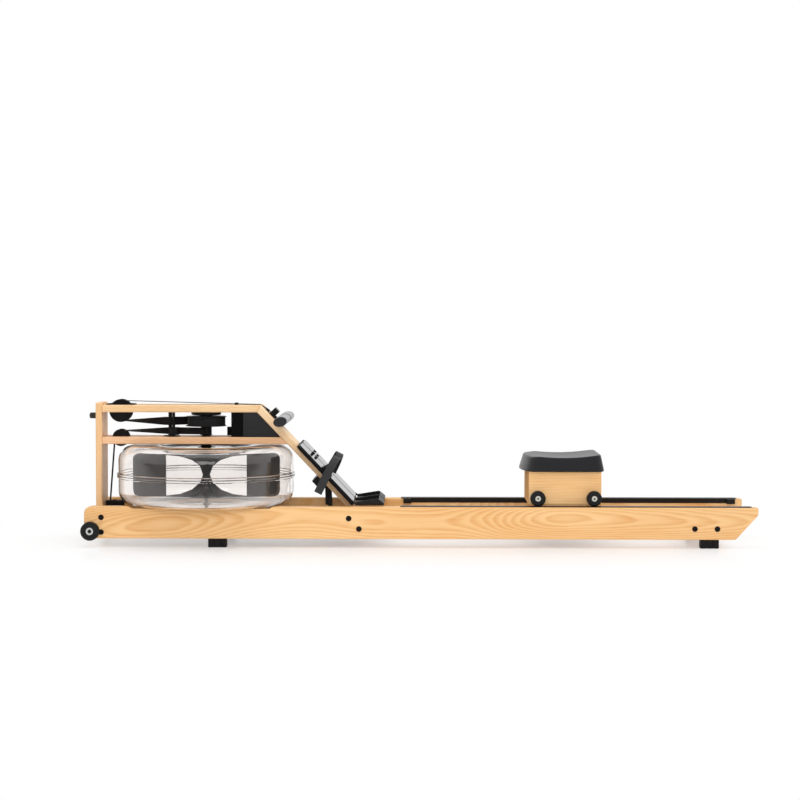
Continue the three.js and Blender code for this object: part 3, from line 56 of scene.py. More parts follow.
def linear(colour):
    """A colour written as sRGB hex, made linear: each channel is (c + 0.055) / 1.055 to the power 2.4."""
    channels = [int(colour[i:i + 2], 16) / 255 for i in (1, 3, 5)]
    return (*[c / 12.92 if c <= 0.04045 else ((c + 0.055) / 1.055) ** 2.4 for c in channels], 1.0)


def add_node(tree, kind, inputs=(), **settings):
    """Adds one node, with its settings, and gives each input a value or a link from another node's output."""
    made = tree.nodes.new(kind)
    for name, value in settings.items():
        setattr(made, name, value)
    for name, value in dict(inputs).items():
        if isinstance(value, bpy.types.NodeSocket):
            tree.links.new(value, made.inputs[name])
        else:
            made.inputs[name].default_value = value
    return made


def calculate(tree, operation, *values, **settings):
    """The result of one step of arithmetic on numbers."""
    return add_node(tree, "ShaderNodeMath", enumerate(values), operation=operation, **settings).outputs[0]


def vector_step(tree, operation, *values):
    """The result of one step on vectors: a number for a length or a dot product, or else a vector."""
    made = add_node(tree, "ShaderNodeVectorMath", enumerate(values), operation=operation)
    return made.outputs["Value" if operation in ("LENGTH", "DOT_PRODUCT") else "Vector"]


def rescaled(tree, value, start, stop, low=0.0, high=1.0, curve="LINEAR"):
    """A value from start to stop brought onto low to high, and held there past the ends."""
    span = {"Value": value, "From Min": start, "From Max": stop, "To Min": low, "To Max": high}
    return add_node(tree, "ShaderNodeMapRange", span, interpolation_type=curve).outputs[0]


def mixed(tree, share, first, second):
    """A number that goes from the first to the second as the share goes from 0 to 1."""
    return add_node(tree, "ShaderNodeMix", {0: share, 2: first, 3: second}).outputs[0]


def along_axis(tree, vector, axis):
    """One part of a vector: X, Y or Z."""
    return add_node(tree, "ShaderNodeSeparateXYZ", {0: vector}).outputs[axis]


def object_place(tree):
    """The place on the object itself, in metres."""
    return add_node(tree, "ShaderNodeTexCoord").outputs["Object"]


def ray_kinds(tree):
    """Whether the eye looks straight or through glass at a place, and whether a mirror does."""
    path = add_node(tree, "ShaderNodeLightPath").outputs
    seen = calculate(tree, "MAXIMUM", path["Is Camera Ray"], path["Is Transmission Ray"])
    return seen, path["Is Glossy Ray"]


camera_place = (-14.15 * mm, -6173 * mm, 708 * mm)
lens_pixels, picture_pixels = 1953.6, 800
pixels_down, pixels_left, roll_slope = 81.75, 15, 0.0017
pitch, yaw, roll = np.arctan([pixels_down / lens_pixels, pixels_left / lens_pixels, roll_slope])
camera = bpy.data.objects.new("camera", bpy.data.cameras.new("camera"))
camera.data.lens = camera.data.sensor_width * lens_pixels / picture_pixels
camera.data.clip_end = 200
camera.matrix_world = (Matrix.Translation(camera_place) @ Matrix.Rotation(yaw, 4, "Z")
                       @ Matrix.Rotation(np.pi / 2 - pitch, 4, "X") @ Matrix.Rotation(roll, 4, "Z"))
bpy.context.scene.collection.objects.link(camera)
bpy.context.scene.camera = camera
bpy.context.scene.view_settings.view_transform = "Standard"

# The eye sees plain white. Mirrors see white too, but a darker room in front of the machine. As light, the
# studio is weaker from the left than from the right.
world = bpy.data.worlds.new("white_studio")
world.use_nodes = True
bpy.context.scene.world = world
studio = world.node_tree
looked_at, in_mirror = ray_kinds(studio)
heading = add_node(studio, "ShaderNodeTexCoord").outputs["Generated"]
side_light = rescaled(studio, along_axis(studio, heading, "X"), -0.9, 0.7, 0.16, 1.2)
room_dark = 0.28
mirrored = rescaled(studio, along_axis(studio, heading, "Y"), -0.9, -0.4, room_dark, 1.0)
not_seen = mixed(studio, in_mirror, side_light, mirrored)
backdrop = studio.nodes["Background"].inputs
studio.links.new(mixed(studio, looked_at, not_seen, 1.0), backdrop["Strength"])
backdrop["Color"].default_value = linear("#FFFFFF")


def soft_lamp(name, place, target, size, power):
    """A square soft box at a place in metres that faces a target. Mirrors show the studio, not the box."""
    lamp = bpy.data.objects.new(name, bpy.data.lights.new(name, "AREA"))
    lamp.data.size, lamp.data.energy = size, power
    lamp.location = place
    lamp.rotation_euler = (Vector(target) - Vector(place)).to_track_quat("-Z", "Y").to_euler()
    lamp.visible_glossy = False
    bpy.context.scene.collection.objects.link(lamp)


soft_lamp("overhead_box", (-0.4, -0.8, 4.2), (-0.2, 0, 0.2), 3.0, 60)
soft_lamp("front_box", (-0.3, -4.5, 1.5), (-0.1, 0, 0.2), 2.0, 60)


def plain_material(name, colour, roughness, **sockets):
    """A material whose surface starts from one colour and one roughness, with other sockets by name."""
    made = bpy.data.materials.new(name)
    made.use_nodes = True
    surface = made.node_tree.nodes["Principled BSDF"]
    surface.inputs["Base Color"].default_value = linear(colour)
    surface.inputs["Roughness"].default_value = roughness
    for socket, value in sockets.items():
        surface.inputs[socket.replace("_", " ")].default_value = value
    return made


# The floor is white acrylic. Near the machine it takes the shadow; further out it melts into the white wall.
floor_half = 40
floor_mesh = bpy.data.meshes.new("floor")
floor_corners = [(x * floor_half, y * floor_half, 0) for x, y in ((-1, -1), (1, -1), (1, 1), (-1, 1))]
floor_mesh.from_pydata(floor_corners, [], [(0, 1, 2, 3)])
floor = bpy.data.objects.new("floor", floor_mesh)
bpy.context.scene.collection.objects.link(floor)
white_acrylic = plain_material("white_acrylic_floor", "#FCFCFC", 0.24, Specular_IOR_Level=0.12)
floor_tree = white_acrylic.node_tree
floor_place = object_place(floor_tree)
floor_scaled = vector_step(floor_tree, "MULTIPLY", floor_place, (0.62, 1.5, 1.0))
floor_reach = vector_step(floor_tree, "LENGTH", floor_scaled)
melt = rescaled(floor_tree, floor_reach, 0.35, 1.15, 0.3, 1.0, "SMOOTHSTEP")
floor_looked_at, floor_in_mirror = ray_kinds(floor_tree)
whiteness = calculate(floor_tree, "MULTIPLY", melt,
                      calculate(floor_tree, "MAXIMUM", floor_looked_at, floor_in_mirror))
mirrored_floor = rescaled(floor_tree, along_axis(floor_tree, floor_place, "Y"), -2.2, -0.9, room_dark, 1.0)
plain_white = add_node(floor_tree, "ShaderNodeEmission", {
    "Color": linear("#FFFFFF"), "Strength": mixed(floor_tree, floor_in_mirror, 1.0, mirrored_floor)})
floor_mix = add_node(floor_tree, "ShaderNodeMixShader", {
    0: whiteness, 1: floor_tree.nodes["Principled BSDF"].outputs[0], 2: plain_white.outputs[0]})
floor_tree.links.new(floor_mix.outputs[0], floor_tree.nodes["Material Output"].inputs["Surface"])
floor_mesh.materials.append(white_acrylic)

# The wooden frame: two long rails, three cross braces, a post, and the boards of the arch. Each is solid
# ash, planed, with eased edges and a thin coat of clear oil. The boards keep their CAD solids.


def paint(tree, socket, value):
    """Links a value to a socket of the material's surface."""
    tree.links.new(value, tree.nodes["Principled BSDF"].inputs[socket])


def lift(tree, height, strength, distance):
    """Lets a height from 0 to 1 lift the surface, by a distance in millimetres."""
    sizes = {"Height": height, "Strength": strength, "Distance": distance * mm}
    paint(tree, "Normal", add_node(tree, "ShaderNodeBump", sizes).outputs[0])


def mixed_colour(tree, share, first, second):
    """A colour that goes from the first to the second as the share goes from 0 to 1."""
    return add_node(tree, "ShaderNodeMix", {0: share, 6: first, 7: second}, data_type="RGBA").outputs[2]


def noise(tree, place, stretch, detail, scale=1.0):
    """Noise at a place that is first scaled along each axis; scale is in features to the metre."""
    scaled = add_node(tree, "ShaderNodeMapping", {"Vector": place, "Scale": stretch}).outputs[0]
    return add_node(tree, "ShaderNodeTexNoise", {"Vector": scaled, "Scale": scale, "Detail": detail}).outputs


def oiled_ash(name, turn, heart, pale="#F1C68E", dark="#DC9F5C", bend=0.9, wander=0.16, gloss=0.35):
    """Flat-sawn ash. Growth rings go round a heart line that wanders off the board's length, one bend in so
    many metres, so a face cuts them in long nested arches: ring = distance from the heart / ring width. Each
    ring ends in a darker porous line. Fine pores, drawn 1.2 mm wide so that they show, lie along the grain,
    and the board's colour drifts slowly. turn brings the length onto X."""
    made = plain_material(name, pale, 0.5, Specular_IOR_Level=gloss)
    tree = made.node_tree
    ripple, ring_width = 0.007, 4.6 * mm
    place = object_place(tree)
    turned_place = add_node(tree, "ShaderNodeMapping", {"Vector": place, "Rotation": turn}).outputs[0]
    slow = noise(tree, turned_place, (1 / bend, 0.4, 0.4), 1.0)["Color"]
    slow_offset = vector_step(tree, "MULTIPLY_ADD", slow, (0, wander, wander),
                              (0, heart[0] - wander / 2, heart[1] - wander / 2))
    quick = noise(tree, turned_place, (4, 16, 16), 2.0)["Color"]
    rippled = vector_step(tree, "MULTIPLY_ADD", quick, (0, ripple, ripple), slow_offset)
    across = vector_step(tree, "MULTIPLY", vector_step(tree, "ADD", turned_place, rippled), (0, 1, 1))
    ring = calculate(tree, "DIVIDE", vector_step(tree, "LENGTH", across), ring_width)
    within = calculate(tree, "FRACT", ring)
    early = rescaled(tree, within, 0.1, 0.8, curve="SMOOTHSTEP")
    late = rescaled(tree, within, 0.8, 1.0, 1.0, 0.0, "SMOOTHSTEP")
    porous = calculate(tree, "MULTIPLY", early, late)
    pores = rescaled(tree, noise(tree, turned_place, (14, 420, 420), 2.0)["Fac"], 0.42, 0.72)
    pore_lines = calculate(tree, "MULTIPLY", pores, calculate(tree, "MULTIPLY_ADD", porous, 0.7, 0.3))
    streak = calculate(tree, "MULTIPLY", porous, 0.42)
    with_pores = calculate(tree, "MULTIPLY_ADD", pore_lines, 0.4, streak)
    broad = noise(tree, turned_place, (2.2, 13, 13), 2.0)["Fac"]
    shade = calculate(tree, "MULTIPLY_ADD", broad, 1.1, with_pores)
    amount = calculate(tree, "SUBTRACT", shade, 0.45, use_clamp=True)
    paint(tree, "Base Color", mixed_colour(tree, amount, linear(pale), linear(dark)))
    paint(tree, "Roughness", rescaled(tree, with_pores, 0.0, 1.0, 0.4, 0.55))
    lift(tree, with_pores, 0.2, 0.2)
    return made


def dress(material, *nodes):
    """Gives CAD nodes a finish in place of their plain one."""
    for name in nodes:
        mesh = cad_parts[name].data
        mesh.materials.clear()
        mesh.materials.append(material)


quarter = np.pi / 2
slope_angle = np.radians(46.5)
dress(oiled_ash("oiled_ash_rails", (0, 0, 0), (0.235, -0.08)), "rail_left", "rail_right")
dress(oiled_ash("oiled_ash_top_board", (0, 0, 0), (0.03, -0.36), "#F7D5A8", "#E5B47D"), "top_board")
dress(oiled_ash("oiled_ash_post", (0, quarter, 0), (0.05, -0.9), "#F1C898", "#DEA76C"), "front_post")
dress(oiled_ash("oiled_ash_strut", (0, slope_angle, 0), (0.04, -0.08), "#F7D7AE", "#E6BA88"), "strut_board")
dress(oiled_ash("oiled_ash_deck", (0, 0, 0), (0.05, -0.27), "#F2C69C", "#DFA370"), "deck_board")
dress(oiled_ash("oiled_ash_braces", (0, 0, quarter), (0.2, -0.03)),
      "front_cross_brace", "rear_cross_brace", "foot_cross_brace")

# Frame bolts: black oxide socket heads in shallow counterbores on the rails' outer faces, three pairs
# at the rear brace, the foot brace and the front post on each side.


def softened(profile, radius, steps=3, closed=False):
    """Rounds each corner of a line: a quadratic curve leaves the line a radius before the corner, pulls
    towards the corner, and joins the line a radius after it."""
    corners = np.array(profile, float)
    before, after = np.roll(corners, 1, 0) - corners, np.roll(corners, -1, 0) - corners
    length_before = np.maximum(np.linalg.norm(before, axis=1, keepdims=True), 1e-9)
    length_after = np.maximum(np.linalg.norm(after, axis=1, keepdims=True), 1e-9)
    start = corners + before / length_before * np.minimum(radius, 0.45 * length_before)
    end = corners + after / length_after * np.minimum(radius, 0.45 * length_after)
    share = np.linspace(0, 1, steps + 1)[None, :, None]
    curves = ((1 - share) ** 2 * start[:, None] + 2 * share * (1 - share) * corners[:, None]
              + share ** 2 * end[:, None])
    if closed:
        return curves.reshape(-1, 2)
    return np.vstack([corners[:1], curves[1:-1].reshape(-1, 2), corners[-1:]])


def grid_faces(rows, columns, wrap_rows=False, wrap_columns=False):
    """The quads of a grid of points, row after row, which may close on itself either way."""
    row = np.arange(rows if wrap_rows else rows - 1)[:, None]
    column = np.arange(columns if wrap_columns else columns - 1)[None, :]
    next_row, next_column = (row + 1) % rows, (column + 1) % columns
    corners = [row * columns + column, row * columns + next_column,
               next_row * columns + next_column, next_row * columns + column]
    return np.stack(corners, -1).reshape(-1, 4)


def make_piece(name, points, faces, material, body, slot=None, replaced=(), uv=None, crease=35):
    """A closed mesh from points in millimetres, faces outwards, smooth but for edges sharper than crease."""
    mesh = bpy.data.meshes.new(name)
    mesh.from_pydata((np.asarray(points, float).reshape(-1, 3) * mm).tolist(), [],
                     [list(map(int, face)) for face in faces])
    if uv is not None:
        layer = mesh.uv_layers.new(name="UVMap")
        corner_vertices = np.empty(len(mesh.loops), int)
        mesh.loops.foreach_get("vertex_index", corner_vertices)
        layer.data.foreach_set("uv", np.asarray(uv, float).reshape(-1, 2)[corner_vertices].ravel())
    work = bmesh.new()
    work.from_mesh(mesh)
    bmesh.ops.remove_doubles(work, verts=work.verts, dist=1e-6)
    bmesh.ops.recalc_face_normals(work, faces=work.faces)
    work.to_mesh(mesh)
    work.free()
    mesh.polygons.foreach_set("use_smooth", np.ones(len(mesh.polygons), bool))
    mesh.set_sharp_from_angle(angle=np.radians(crease))
    mesh.materials.append(material)
    made = bpy.data.objects.new(name, mesh)
    bpy.context.scene.collection.objects.link(made)
    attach(made, body)
    if replaced:
        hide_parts(*replaced)
    return made


axes = {"X": (1, 2, 0), "Y": (2, 0, 1), "Z": (0, 1, 2)}


def turned_points(profile, centre, axis, facets=72, squash=(1, 1)):
    """A profile of (radius, along) turned about an axis through centre: each point goes round at its radius,
    at its distance along the axis. squash makes the round an oval."""
    profile = np.asarray(profile, float)
    angle = np.linspace(0, 2 * np.pi, facets, endpoint=False)
    first = profile[:, :1] * np.cos(angle) * squash[0]
    second = profile[:, :1] * np.sin(angle) * squash[1]
    along = np.repeat(profile[:, 1:], facets, 1)
    points = np.empty((len(profile), facets, 3))
    for place, values in zip(axes[axis], (first, second, along)):
        points[..., place] = values
    return points + np.asarray(centre, float)


def turn_piece(name, profile, centre, axis, material, body, slot=None, replaced=(), facets=72, closed=False,
               crease=35):
    """One turned piece: the profile runs from axis to axis, or is closed round a bore."""
    points = turned_points(profile, centre, axis, facets)
    faces = grid_faces(len(points), facets, closed, True)
    return make_piece(name, points, faces, material, body, slot, replaced, crease=crease)


def combine(*solids):
    """Several (points, faces) as one, so that a piece may have more than one closed body."""
    points, faces, start = [], [], 0
    for solid_points, solid_faces in solids:
        flat = np.asarray(solid_points, float).reshape(-1, 3)
        points.append(flat)
        faces += [[int(i) + start for i in face] for face in solid_faces]
        start += len(flat)
    return np.vstack(points), faces


def grained(name, colour, roughness, grain, depth=0.15, stretch=(1, 1, 1), **sockets):
    """A moulded, cast or brushed surface. Noise with features of one grain, in millimetres, drawn out by
    stretch, moves its shade by up to 15 % and its gloss a little, and lifts it by depth millimetres."""
    made = plain_material(name, colour, roughness, **sockets)
    tree = made.node_tree
    place = object_place(tree)
    grains = noise(tree, place, stretch, 3.0, 1 / (grain * mm))["Fac"]
    shades = [(*[min(way * c, 1) for c in linear(colour)[:3]], 1.0) for way in (0.85, 1.15)]
    paint(tree, "Base Color", mixed_colour(tree, grains, *shades))
    paint(tree, "Roughness", rescaled(tree, grains, 0.3, 0.7, max(roughness - 0.05, 0.02), roughness + 0.05))
    lift(tree, grains, 0.4, depth)
    return made


# Black oxide is a thin dark skin on steel: a little metallic, with the fine marks of the turning tool
black_oxide = grained("black_oxide_steel", "#1A1716", 0.4, 0.6, 0.05, Metallic=0.5, Specular_IOR_Level=0.3)
bolt_radius, socket_radius, bolt_stand = 8.8, 3.6, 2.4
bolt_places = [(-980, 92.3), (-980, 46.7), (-215.2, 90.5), (-183.7, 58.1), (851.8, 60.6), (921.2, 60.6)]
rail_shift = -2.75
bolt_profile = softened([(0, bolt_stand - 2.4), (socket_radius * 0.8, bolt_stand - 2.2),
                         (socket_radius, bolt_stand), (bolt_radius - 1.2, bolt_stand),
                         (bolt_radius, 0.4), (bolt_radius, -0.4), (0, -0.4)], 0.7)
for side, hand in ((-1, "left"), (1, "right")):
    heads = []
    for bolt_x, bolt_z in bolt_places:
        head = turned_points(bolt_profile * (1, side), (bolt_x + rail_shift, side * 170, bolt_z), "Y", 32)
        heads.append((head, grid_faces(len(head), 32, False, True)))
    make_piece(f"frame_bolts_{hand}", *combine(*heads), black_oxide, "frame")

# The tank: two polycarbonate shells, vacuum formed and joined at a flange on a dark gasket. The wall is
# clear with a faint warm tint, and the edges, where the eye looks along the wall, are grey.


def centre_of(node):
    """The middle of a CAD node's box, and its lowest and highest corners, in millimetres."""
    low, high = (np.array(corner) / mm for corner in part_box(node))
    return (low + high) / 2, low, high


def arc(centre, radii, start, stop, steps=14):
    """Points of an elliptic arc in (radius, height), from one angle to another in degrees."""
    angle = np.radians(np.linspace(start, stop, steps + 1))
    return np.stack([centre[0] + radii[0] * np.cos(angle), centre[1] + radii[1] * np.sin(angle)], 1)


# Polycarbonate sheet, pulled down over a mould by vacuum: clear, with a slow waviness left by the forming
clear_polycarbonate = plain_material("clear_polycarbonate", "#FBF8F6", 0.03, IOR=1.46,
                                     Transmission_Weight=1.0)
sheet_tree = clear_polycarbonate.node_tree
sheet_place = object_place(sheet_tree)
lift(sheet_tree, noise(sheet_tree, sheet_place, (1, 1, 1), 1.0, 22.0)["Fac"], 0.35, 1.2)
tank_middle, tank_low, tank_high = centre_of("tank_lower_shell")
upper_low, upper_high = centre_of("tank_upper_shell")[1:]
tank_centre = (tank_middle[0], 0, 0)
flange_radius = (tank_high[0] - tank_low[0]) / 2
flange_reach, wall, ease = 4, 4, 0.8
tank_radius = flange_radius - flange_reach
corner_across, corner_high = 50, 46
tank_seat, sump_floor, foot_radius, sump_radius, well_radius = 119.3, tank_low[2], 134, 104, 16
flange_low, flange_high, neck, dish_radius, dish_depth = 207, 221, 28, 126, 14
tank_top, dish = upper_high[2], upper_high[2] - dish_depth
corner_centre = tank_radius - corner_across
outer_corner, inner_corner = (corner_across, corner_high), (corner_across - wall, corner_high - wall)
lower_corner, upper_corner = (corner_centre, tank_seat + corner_high), (corner_centre, tank_top - corner_high)
lower_profile = np.vstack([
    [(0, sump_floor), (96, sump_floor), (sump_radius, sump_floor + 1.5), (126, tank_seat - 1.5),
     (foot_radius, tank_seat)],
    arc(lower_corner, outer_corner, -90, 0),
    [(tank_radius, flange_low - 2), (tank_radius + 1.5, flange_low), (flange_radius - ease, flange_low),
     (flange_radius, flange_low + ease), (flange_radius, 212.4), (flange_radius - ease, tank_high[2]),
     (tank_radius - wall, tank_high[2])],
    arc(lower_corner, inner_corner, 0, -90),
    [(foot_radius, tank_seat + wall), (sump_radius, sump_floor + wall), (well_radius, sump_floor + wall),
     (well_radius, sump_floor + wall + 8), (7, sump_floor + wall + 8), (7, sump_floor + wall),
     (0, sump_floor + wall)]])
turn_piece("tank_lower", lower_profile, tank_centre, "Z", clear_polycarbonate, "frame", "clear_plastic",
           ("tank_lower_shell",), facets=128)
upper_profile = np.vstack([
    [(neck, dish - wall), (dish_radius, dish - wall), (146, tank_top - wall - 1.5), (156, tank_top - wall)],
    arc(upper_corner, inner_corner, 90, 0),
    [(tank_radius - wall, upper_low[2]), (flange_radius - ease, upper_low[2]),
     (flange_radius, upper_low[2] + ease), (flange_radius, flange_high - ease),
     (flange_radius - ease, flange_high), (tank_radius + 1.5, flange_high), (tank_radius, flange_high + 2)],
    arc(upper_corner, outer_corner, 0, 90),
    [(156, tank_top), (147, tank_top - 1), (134, dish + 1), (dish_radius, dish), (neck, dish)]])
turn_piece("tank_upper", upper_profile, tank_centre, "Z", clear_polycarbonate, "frame", "clear_plastic",
           ("tank_upper_shell",), facets=128, closed=True)
gasket_rubber = grained("gasket_rubber", "#4E4946", 0.6, 1.0)
gasket_low, gasket_high = centre_of("tank_gasket")[1:]
gasket_radius = (gasket_high[0] - gasket_low[0]) / 2
turn_piece("gasket_ring", [(tank_radius - wall, gasket_low[2]), (gasket_radius, gasket_low[2]),
                           (gasket_radius, gasket_high[2]), (tank_radius - wall, gasket_high[2])],
           tank_centre, "Z", gasket_rubber, "frame", "charcoal_plastic", ("tank_gasket",), 128, True)

# The fill plug and the shaft's lower seal, moulded in black rubber and nylon.

# Glass-filled nylon from a spark-eroded mould: near black, with a fine matt grain drawn 1.5 mm wide
moulded_black = grained("moulded_black_nylon", "#121213", 0.45, 1.5, Specular_IOR_Level=0.25)
# Rubber: black, soft and duller still
soft_black = grained("black_rubber", "#101010", 0.65, 2.0, Specular_IOR_Level=0.25)

plug_middle, plug_low, plug_high = centre_of("tank_fill_plug")
plug_profile = [(0, plug_low[2]), (17, plug_low[2]), (17, dish + gap), (21, dish + gap), (21, dish + 4),
                (9, dish + 4.5), (9, plug_high[2]), (5, plug_high[2]), (4, plug_high[2] - 2),
                (0, plug_high[2] - 2)]
turn_piece("fill_plug", softened(plug_profile, 1.2), (plug_middle[0], 0, 0), "Z", soft_black, "frame",
           "black_rubber", ("tank_fill_plug",))
shaft_bore = 6.7
seal_middle, seal_low, seal_high = centre_of("shaft_bearing")
seal_profile = [(shaft_bore, seal_low[2]), (27.7, seal_low[2]), (27.7, dish + 6), (20, dish + 7),
                (14.6, dish + 10), (14.6, seal_high[2]), (shaft_bore, seal_high[2])]
turn_piece("shaft_seal", softened(seal_profile, 1, closed=True), (seal_middle[0], 0, 0), "Z", moulded_black,
           "frame", "black_plastic", ("shaft_bearing",), closed=True)
bearing_middle, bearing_low, bearing_high = centre_of("upper_bearing")
bearing_profile = [(shaft_bore, bearing_low[2]), (22, bearing_low[2]), (24, bearing_low[2] + 3),
                   (45, bearing_low[2] + 3), (47, bearing_low[2] + 5), (47, bearing_high[2]),
                   (shaft_bore, bearing_high[2])]
turn_piece("bearing_plate", softened(bearing_profile, 1, closed=True), (bearing_middle[0], 0, 0), "Z",
           moulded_black, "frame", "black_plastic", ("upper_bearing",), closed=True)

# The paddle: smoked polycarbonate, moulded in one piece, with a D-shaped window in each blade and a hub
# that flares at both ends. It hangs on a brushed stainless shaft.

# Smoked polycarbonate looks darker where more of it lies behind the surface: the blades are 8 mm thick, the
# hub is solid round the shaft and is drawn near black. Its top flare sits under the dark bearing, and that
# shade is painted in: the hub is drawn darker still towards its top.
smoked = plain_material("smoked_polycarbonate", "#5A5856", 0.16, Specular_IOR_Level=0.4)
smoked_tree = smoked.node_tree
smoked_place = object_place(smoked_tree)
from_axis = vector_step(smoked_tree, "ADD", smoked_place, (-tank_centre[0] * mm, 0, 0))
axis_distance = vector_step(smoked_tree, "LENGTH", vector_step(smoked_tree, "MULTIPLY", from_axis, (1, 1, 0)))
hub_depth = rescaled(smoked_tree, axis_distance, 34 * mm, 80 * mm, 1.0, 0.0)
# Painted shade under the bearing: the hub gets 0.62 of its darkness low down and all of it at the top
shade_under_bearing = rescaled(smoked_tree, along_axis(smoked_tree, smoked_place, "Z"), 165 * mm, 215 * mm, 0.62, 1.0)
flow = noise(smoked_tree, smoked_place, (1, 1, 1), 2.0, 30.0)["Fac"]
blade_shade = mixed_colour(smoked_tree, flow, linear("#454443"), linear("#5E5B59"))
depth_and_painted_shade = calculate(smoked_tree, "MULTIPLY", hub_depth, shade_under_bearing)
paint(smoked_tree, "Base Color", mixed_colour(smoked_tree, depth_and_painted_shade, blade_shade, linear("#060505")))
dress(smoked, "paddle")
# Stainless bar, brushed round as it turned: the fine lines run round the shaft
brushed_steel = grained("brushed_stainless_steel", "#C2C2C4", 0.32, 0.8, 0.05, (0.2, 0.2, 1), Metallic=1.0)
dress(brushed_steel, "paddle_shaft")

# The strap reel, moulded in black nylon: the wide drum for the drive strap on top and the narrow recoil
# drum under it, with rounded rims.

reel_middle, reel_low, reel_high = centre_of("strap_reel")
drum_high, drum_rim, drum_core, rim_thick, core_slope = 30.8, 64, 40, 2, 0.4
recoil_rim, recoil_core, recoil_rim_thick, reel_bore = 19.6, 17.4, 1.8, 6.6
drum_low = reel_high[2] - drum_high
rim_inner, core_edge = recoil_rim_thick, recoil_rim_thick + core_slope
reel_profile = softened([
    (reel_bore, reel_low[2]), (recoil_rim, reel_low[2]), (recoil_rim, reel_low[2] + rim_inner),
    (recoil_core, reel_low[2] + core_edge), (recoil_core, drum_low - core_edge),
    (recoil_rim, drum_low - rim_inner), (recoil_rim, drum_low), (drum_rim, drum_low),
    (drum_rim, drum_low + rim_thick), (drum_core, drum_low + rim_thick + core_slope),
    (drum_core, reel_high[2] - rim_thick - core_slope), (drum_rim, reel_high[2] - rim_thick),
    (drum_rim, reel_high[2]), (reel_bore, reel_high[2])], 0.8, closed=True)
turn_piece("reel_drums", reel_profile, (reel_middle[0], 0, 0), "Z", moulded_black, "reel", "black_plastic",
           ("strap_reel",), facets=96, closed=True)

# Pulleys and rollers: glass-filled nylon, turned true, each on its own stub axles.


def pulley(name, node, groove_radius, journal, stub, flange, facets=72):
    """A flanged pulley about Y in the space of its CAD node: a journal's radius, how far its stub stands out
    of the rims, how thick the rims are, and a groove between them."""
    middle, low, high = centre_of(node)
    reach, radius = (high[1] - low[1]) / 2, (high[0] - low[0]) / 2
    half = reach - stub
    side_profile = [(0, -reach), (journal, -reach), (journal, -half), (radius * 0.35, -half),
                    (radius * 0.42, -half + 1), (radius * 0.8, -half + 1), (radius * 0.86, -half),
                    (radius, -half), (radius, -half + flange), (groove_radius, -half + 1.5 * flange)]
    profile = side_profile + [(r, -y) for r, y in side_profile[::-1]]
    turn_piece(name, softened(profile, 0.6), middle, "Y", moulded_black, node, "black_plastic", (node,),
               facets)


top_groove, deck_groove, cord_groove = 30.4, 20.8, 11
pulley("pulley_top", "upper_pulley", top_groove, 4, 4, 2.4)
pulley("pulley_deck", "lower_pulley", deck_groove, 2.6, 9, 2)
pulley("pulley_cord", "bungee_pulley", cord_groove, 2.5, 4, 1.4, 48)
dress(moulded_black, "corner_roller_upper", "corner_roller_lower", "pulley_bracket", "bungee_bracket",
      "strap_guide_posts", "strap_guide_roller", "foot_cross_bar")

# The guide posts' roller and the rubber bumper on the post's front are turned too.

roller_middle, roller_low, roller_high = centre_of("strap_guide_roller")
roller_bore, roller_rim, roller_core, roller_lip = 5.3, 19, 17, 1.4
turn_piece("guide_roller",
           softened([(roller_bore, roller_low[2]), (roller_rim, roller_low[2]),
                     (roller_core, roller_low[2] + roller_lip), (roller_core, roller_high[2] - roller_lip),
                     (roller_rim, roller_high[2]), (roller_bore, roller_high[2])], 0.6, closed=True),
           (roller_middle[0], roller_middle[1], 0), "Z", moulded_black, "strap_guide_roller", "black_plastic",
           ("strap_guide_roller",), closed=True)
bumper_middle, bumper_low, bumper_high = centre_of("bumper")
# Rubber greyed by talc from its mould
bumper_rubber = grained("talced_rubber", "#333331", 0.65, 2.0, Specular_IOR_Level=0.25)
turn_piece("rubber_bumper", softened([(0, bumper_high[0]), (9.5, bumper_high[0]), (9.5, bumper_low[0] + 3),
                                      (6.5, bumper_low[0]), (2.4, bumper_low[0]), (2.2, bumper_low[0] + 1.5),
                                      (0, bumper_low[0] + 1.5)], 1.5),
           (0, 0, bumper_middle[2]), "X", bumper_rubber, "frame", "black_rubber", ("bumper",), 48)

# The straps: polyester webbing 26 mm wide on the drive side and 22 mm on the recoil side. Each leaves a
# pulley flat, turns on edge on its way to the guide posts, and winds on the reel.


def web_cloth(name, colour, crest_highlight, rib):
    """Woven polyester webbing: fine ribs across the strap, drawn 2.4 mm apart so that they show, with a flat
    selvedge. It reads the strap's own map, metres along and across it. The crests of the weave are painted in
    the crest_highlight colour, a painted highlight, and its low places in the base colour, as painted shade."""
    made = plain_material(name, colour, 0.72, Sheen_Weight=0.05, Specular_IOR_Level=0.25)
    tree = made.node_tree
    place = add_node(tree, "ShaderNodeUVMap", uv_map="UVMap").outputs[0]
    ribs = add_node(tree, "ShaderNodeTexWave", {"Vector": place, "Scale": 1 / (rib * mm) / 6.283,
                                               "Distortion": 0.4, "Detail": 1.0}, bands_direction="X")
    threads = add_node(tree, "ShaderNodeTexWave", {"Vector": place, "Scale": 1 / (rib * mm) / 3.1},
                       bands_direction="Y")
    weave = calculate(tree, "MULTIPLY", ribs.outputs["Fac"], threads.outputs["Fac"])
    # Painted highlight on the weave's crests and painted shade in its grooves, following the bump's height
    paint(tree, "Base Color", mixed_colour(tree, weave, linear(colour), linear(crest_highlight)))
    lift(tree, weave, 0.5, 0.4)
    return made


